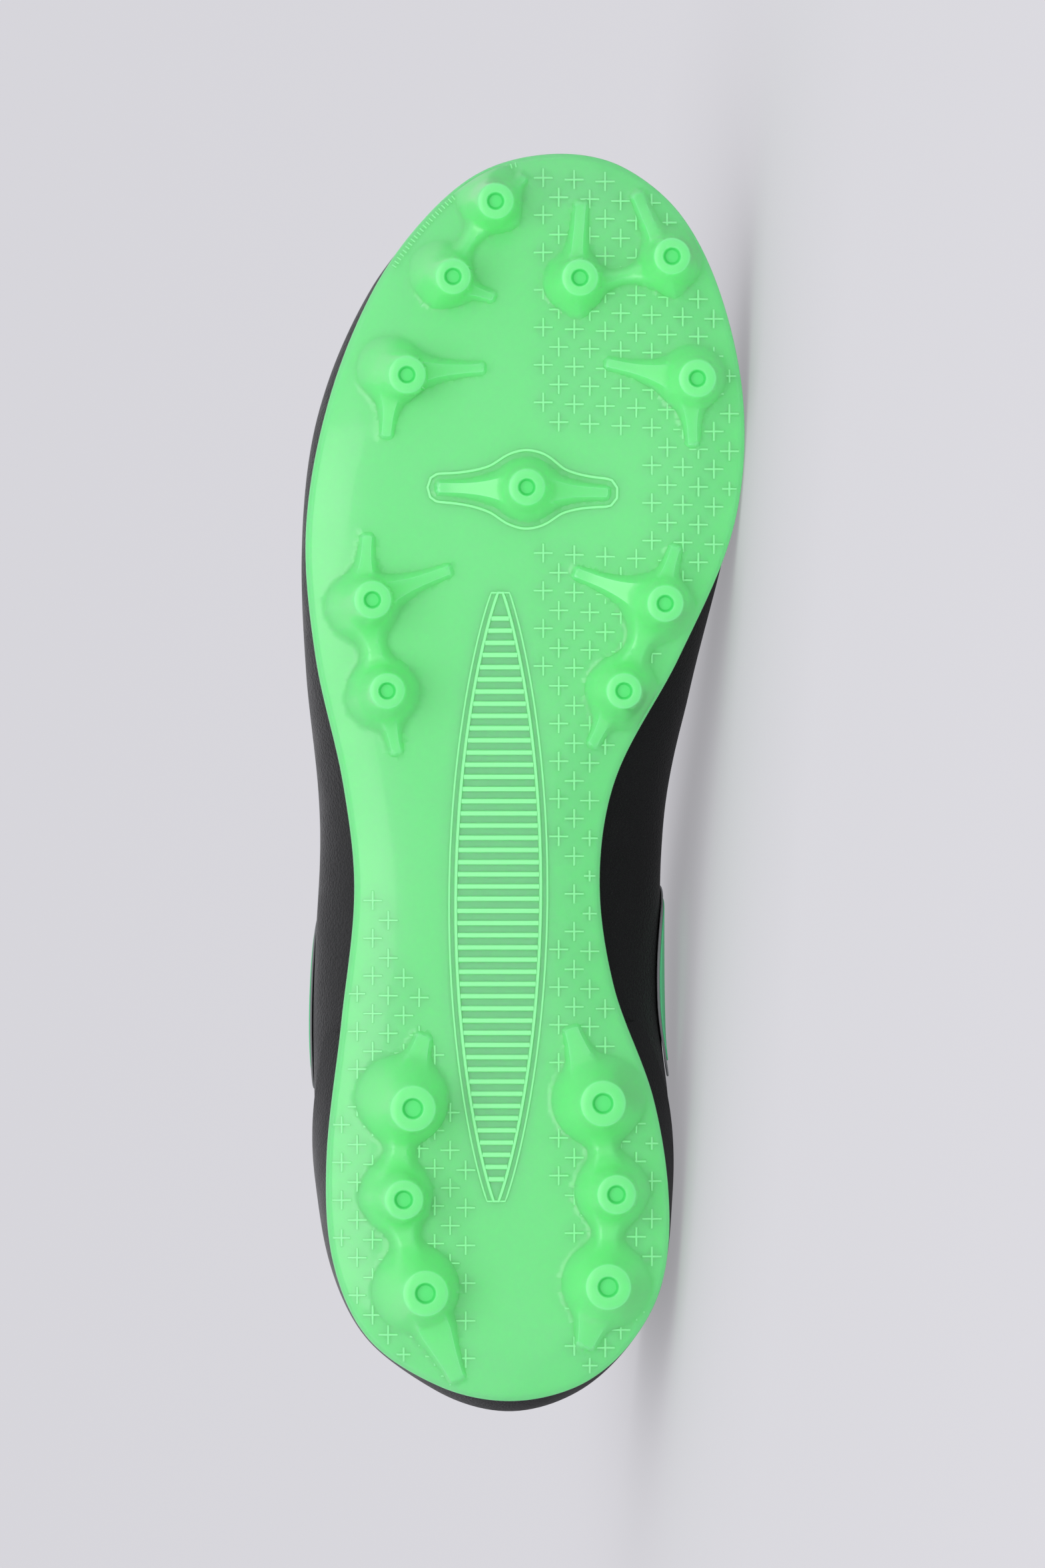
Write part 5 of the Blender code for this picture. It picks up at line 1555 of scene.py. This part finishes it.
def stitch_row(turns, ups, base):
    """Small rounded stitches along a line on the upper, as points and faces."""
    dense, outs = skin(turns, ups, base)
    run = run_along(dense)
    points, faces = [], []
    for start in np.arange(STITCH_PITCH / 2, run[-1] - STITCH_PITCH / 2, STITCH_PITCH):
        spots = start + np.array([-0.5, -0.3, 0.3, 0.5]) * STITCH_LENGTH
        line = np.stack([np.interp(spots, run, dense[:, k]) for k in range(3)], 1)
        out = np.array([np.interp(start, run, outs[:, k]) for k in range(3)])
        side = unit(np.cross(unit(line[-1] - line[0]), out))
        lanes = []
        for centre, size, sink in zip(line, (0.35, 1, 1, 0.35), (-0.6, 0.25, 0.25, -0.6)):
            lanes.append(range(len(points), len(points) + STITCH_SIDES))
            for angle in np.arange(STITCH_SIDES) * 2 * math.pi / STITCH_SIDES:
                aside, rise = math.cos(angle) * size, math.sin(angle) * size + sink
                points.append(centre + (side * aside + out * rise) * STITCH_RADIUS)
        for lane, following in zip(lanes, lanes[1:]):
            faces += ring_faces(lane, following)
        faces += [tuple(lanes[0]), tuple(lanes[-1][::-1])]
    return points, faces


def build_stitching():
    """The seams' thread: along the eyestay, the heel counter and the collar."""
    rows = []
    line = np.linspace(EYESTAY_FROM + SEAM_END, 1 - EYESTAY_FROM - SEAM_END, SEAM_PLACES)
    for up in (*(EYESTAY_LOW + inset for inset in SEAM_INSETS), EYELET_SEAM):
        rows.append(stitch_row(line, up, OVERLAY + GAP * 0.5))
    along = np.linspace(-COUNTER_SEAM_REACH, COUNTER_SEAM_REACH, SEAM_PLACES)
    top = curve_through(COUNTER_EDGE)(np.abs(along))
    for inset in SEAM_INSETS:
        rows.append(stitch_row(along / 2, top - inset, COUNTER_OVERLAY + GAP * 0.5))
    collar = np.linspace(SEAM_END - EYESTAY_FROM, EYESTAY_FROM - SEAM_END, SEAM_PLACES)
    for up in COLLAR_SEAMS:
        rows.append(stitch_row(collar, up, 0.0))
    points, faces = [], []
    for some, around in rows:
        first = len(points)
        points += list(some)
        faces += [tuple(first + k for k in face) for face in around]
    return settle(mesh_piece("stitching", points, faces), THREAD, angle=60)


# The set: floor, backdrop, light and camera

BACKDROP = (0.694, 0.687, 0.723, 1.0)


FLOOR_COLOUR = (0.14, 0.1386, 0.1456, 1.0)
FLOOR_GLOW = 0.83
# The next value is the floor's glow for diffuse rays, a painted bounce light on the shoe.
FLOOR_BOUNCE = 1.00
FLOOR_SHEEN = 0.16
# A painted contact shadow: how far from the shoe the floor's glow dims, and to what share.
CONTACT_REACH = 0.15
CONTACT_SHADOW_TONE = 0.45


def build_set():
    """A wide, pale floor. It glows for the camera, to keep one tone, dimmed near the shoe as a painted
    contact shadow. Its glow for other rays is painted bounce light on the shoe.
    """
    deselect()
    bpy.ops.mesh.primitive_plane_add(size=60, location=(0, 0, 0))
    floor = bpy.context.object
    floor.name = "floor"
    paper, tree, inputs = new_material(
        "paper", Roughness=0.9, Specular_IOR_Level=0.0, Base_Color=FLOOR_COLOUR, Emission_Color=BACKDROP
    )
    seen = tree.nodes.new("ShaderNodeLightPath").outputs
    # The glow for the camera dims near the shoe: a painted contact shadow.
    contact = new_node(tree, "ShaderNodeAmbientOcclusion", Distance=CONTACT_REACH)
    contact.samples = 8
    far = FLOOR_GLOW - FLOOR_SHEEN
    near = far * CONTACT_SHADOW_TONE
    glow = new_node(tree, "ShaderNodeMapRange", Value=contact.outputs["AO"], To_Min=near, To_Max=far)
    bounce = reckon(tree, "MULTIPLY_ADD", seen["Is Diffuse Ray"], FLOOR_BOUNCE - FLOOR_SHEEN, FLOOR_SHEEN)
    shine = reckon(tree, "MULTIPLY_ADD", seen["Is Camera Ray"], glow.outputs["Result"], bounce)
    feed(tree, shine, inputs["Emission Strength"])
    floor.data.materials.append(paper)


def add_light(name, location, target, size, power):
    deselect()
    bpy.ops.object.light_add(type="AREA", location=location)
    light = bpy.context.object
    light.name = name
    light.data.shape = "RECTANGLE"
    light.data.size, light.data.size_y = size
    light.data.energy = power
    way = Vector(target) - Vector(location)
    light.rotation_euler = way.to_track_quat("-Z", "Y").to_euler()
    return light


def build_light():
    world = bpy.context.scene.world or bpy.data.worlds.new("world")
    bpy.context.scene.world = world
    world.use_nodes = True
    sky = world.node_tree.nodes["Background"]
    sky.inputs["Color"].default_value = BACKDROP
    sky.inputs["Strength"].default_value = 1.0
    add_light("softbox_above", (-0.1, -1.6, 1.3), target=(0, 0, 0.04), size=(1.5, 1.2), power=12.0)
    front = add_light("softbox_front", (0.1, -2.6, 0.25), target=(0, 0, 0.05), size=(1.6, 1.2), power=14.8)
    front.visible_glossy = False
    bpy.context.scene.view_settings.view_transform = "Standard"


SENSOR = 36
CAMERA_DISTANCE = 6.0
FIELD_HEIGHT = 0.3539
AIM = Vector((0.14235, 0.0, 0.015))


def build_camera():
    """The photo's view: square to the sole, the toe up, with the picture rolled to match."""
    data = bpy.data.cameras.new("camera")
    data.sensor_width = SENSOR
    data.lens = SENSOR * CAMERA_DISTANCE / FIELD_HEIGHT
    camera = bpy.data.objects.new("camera", data)
    bpy.context.scene.collection.objects.link(camera)
    axes = SHOE.to_3x3()
    forward, side, up = (axes.col[k].copy() for k in range(3))
    turned = Matrix((side, forward, -up)).transposed().to_4x4()
    camera.matrix_world = Matrix.Translation(SHOE @ AIM - up * CAMERA_DISTANCE) @ turned
    bpy.context.scene.camera = camera


build_camera()
build_light()
build_set()
build_sole()
build_sole_ribs()
build_sole_marks()
build_upper()
build_counter()
build_eyestay()
build_panels()
build_soft_pieces()
build_laces()
build_eyelets()
build_stitching()
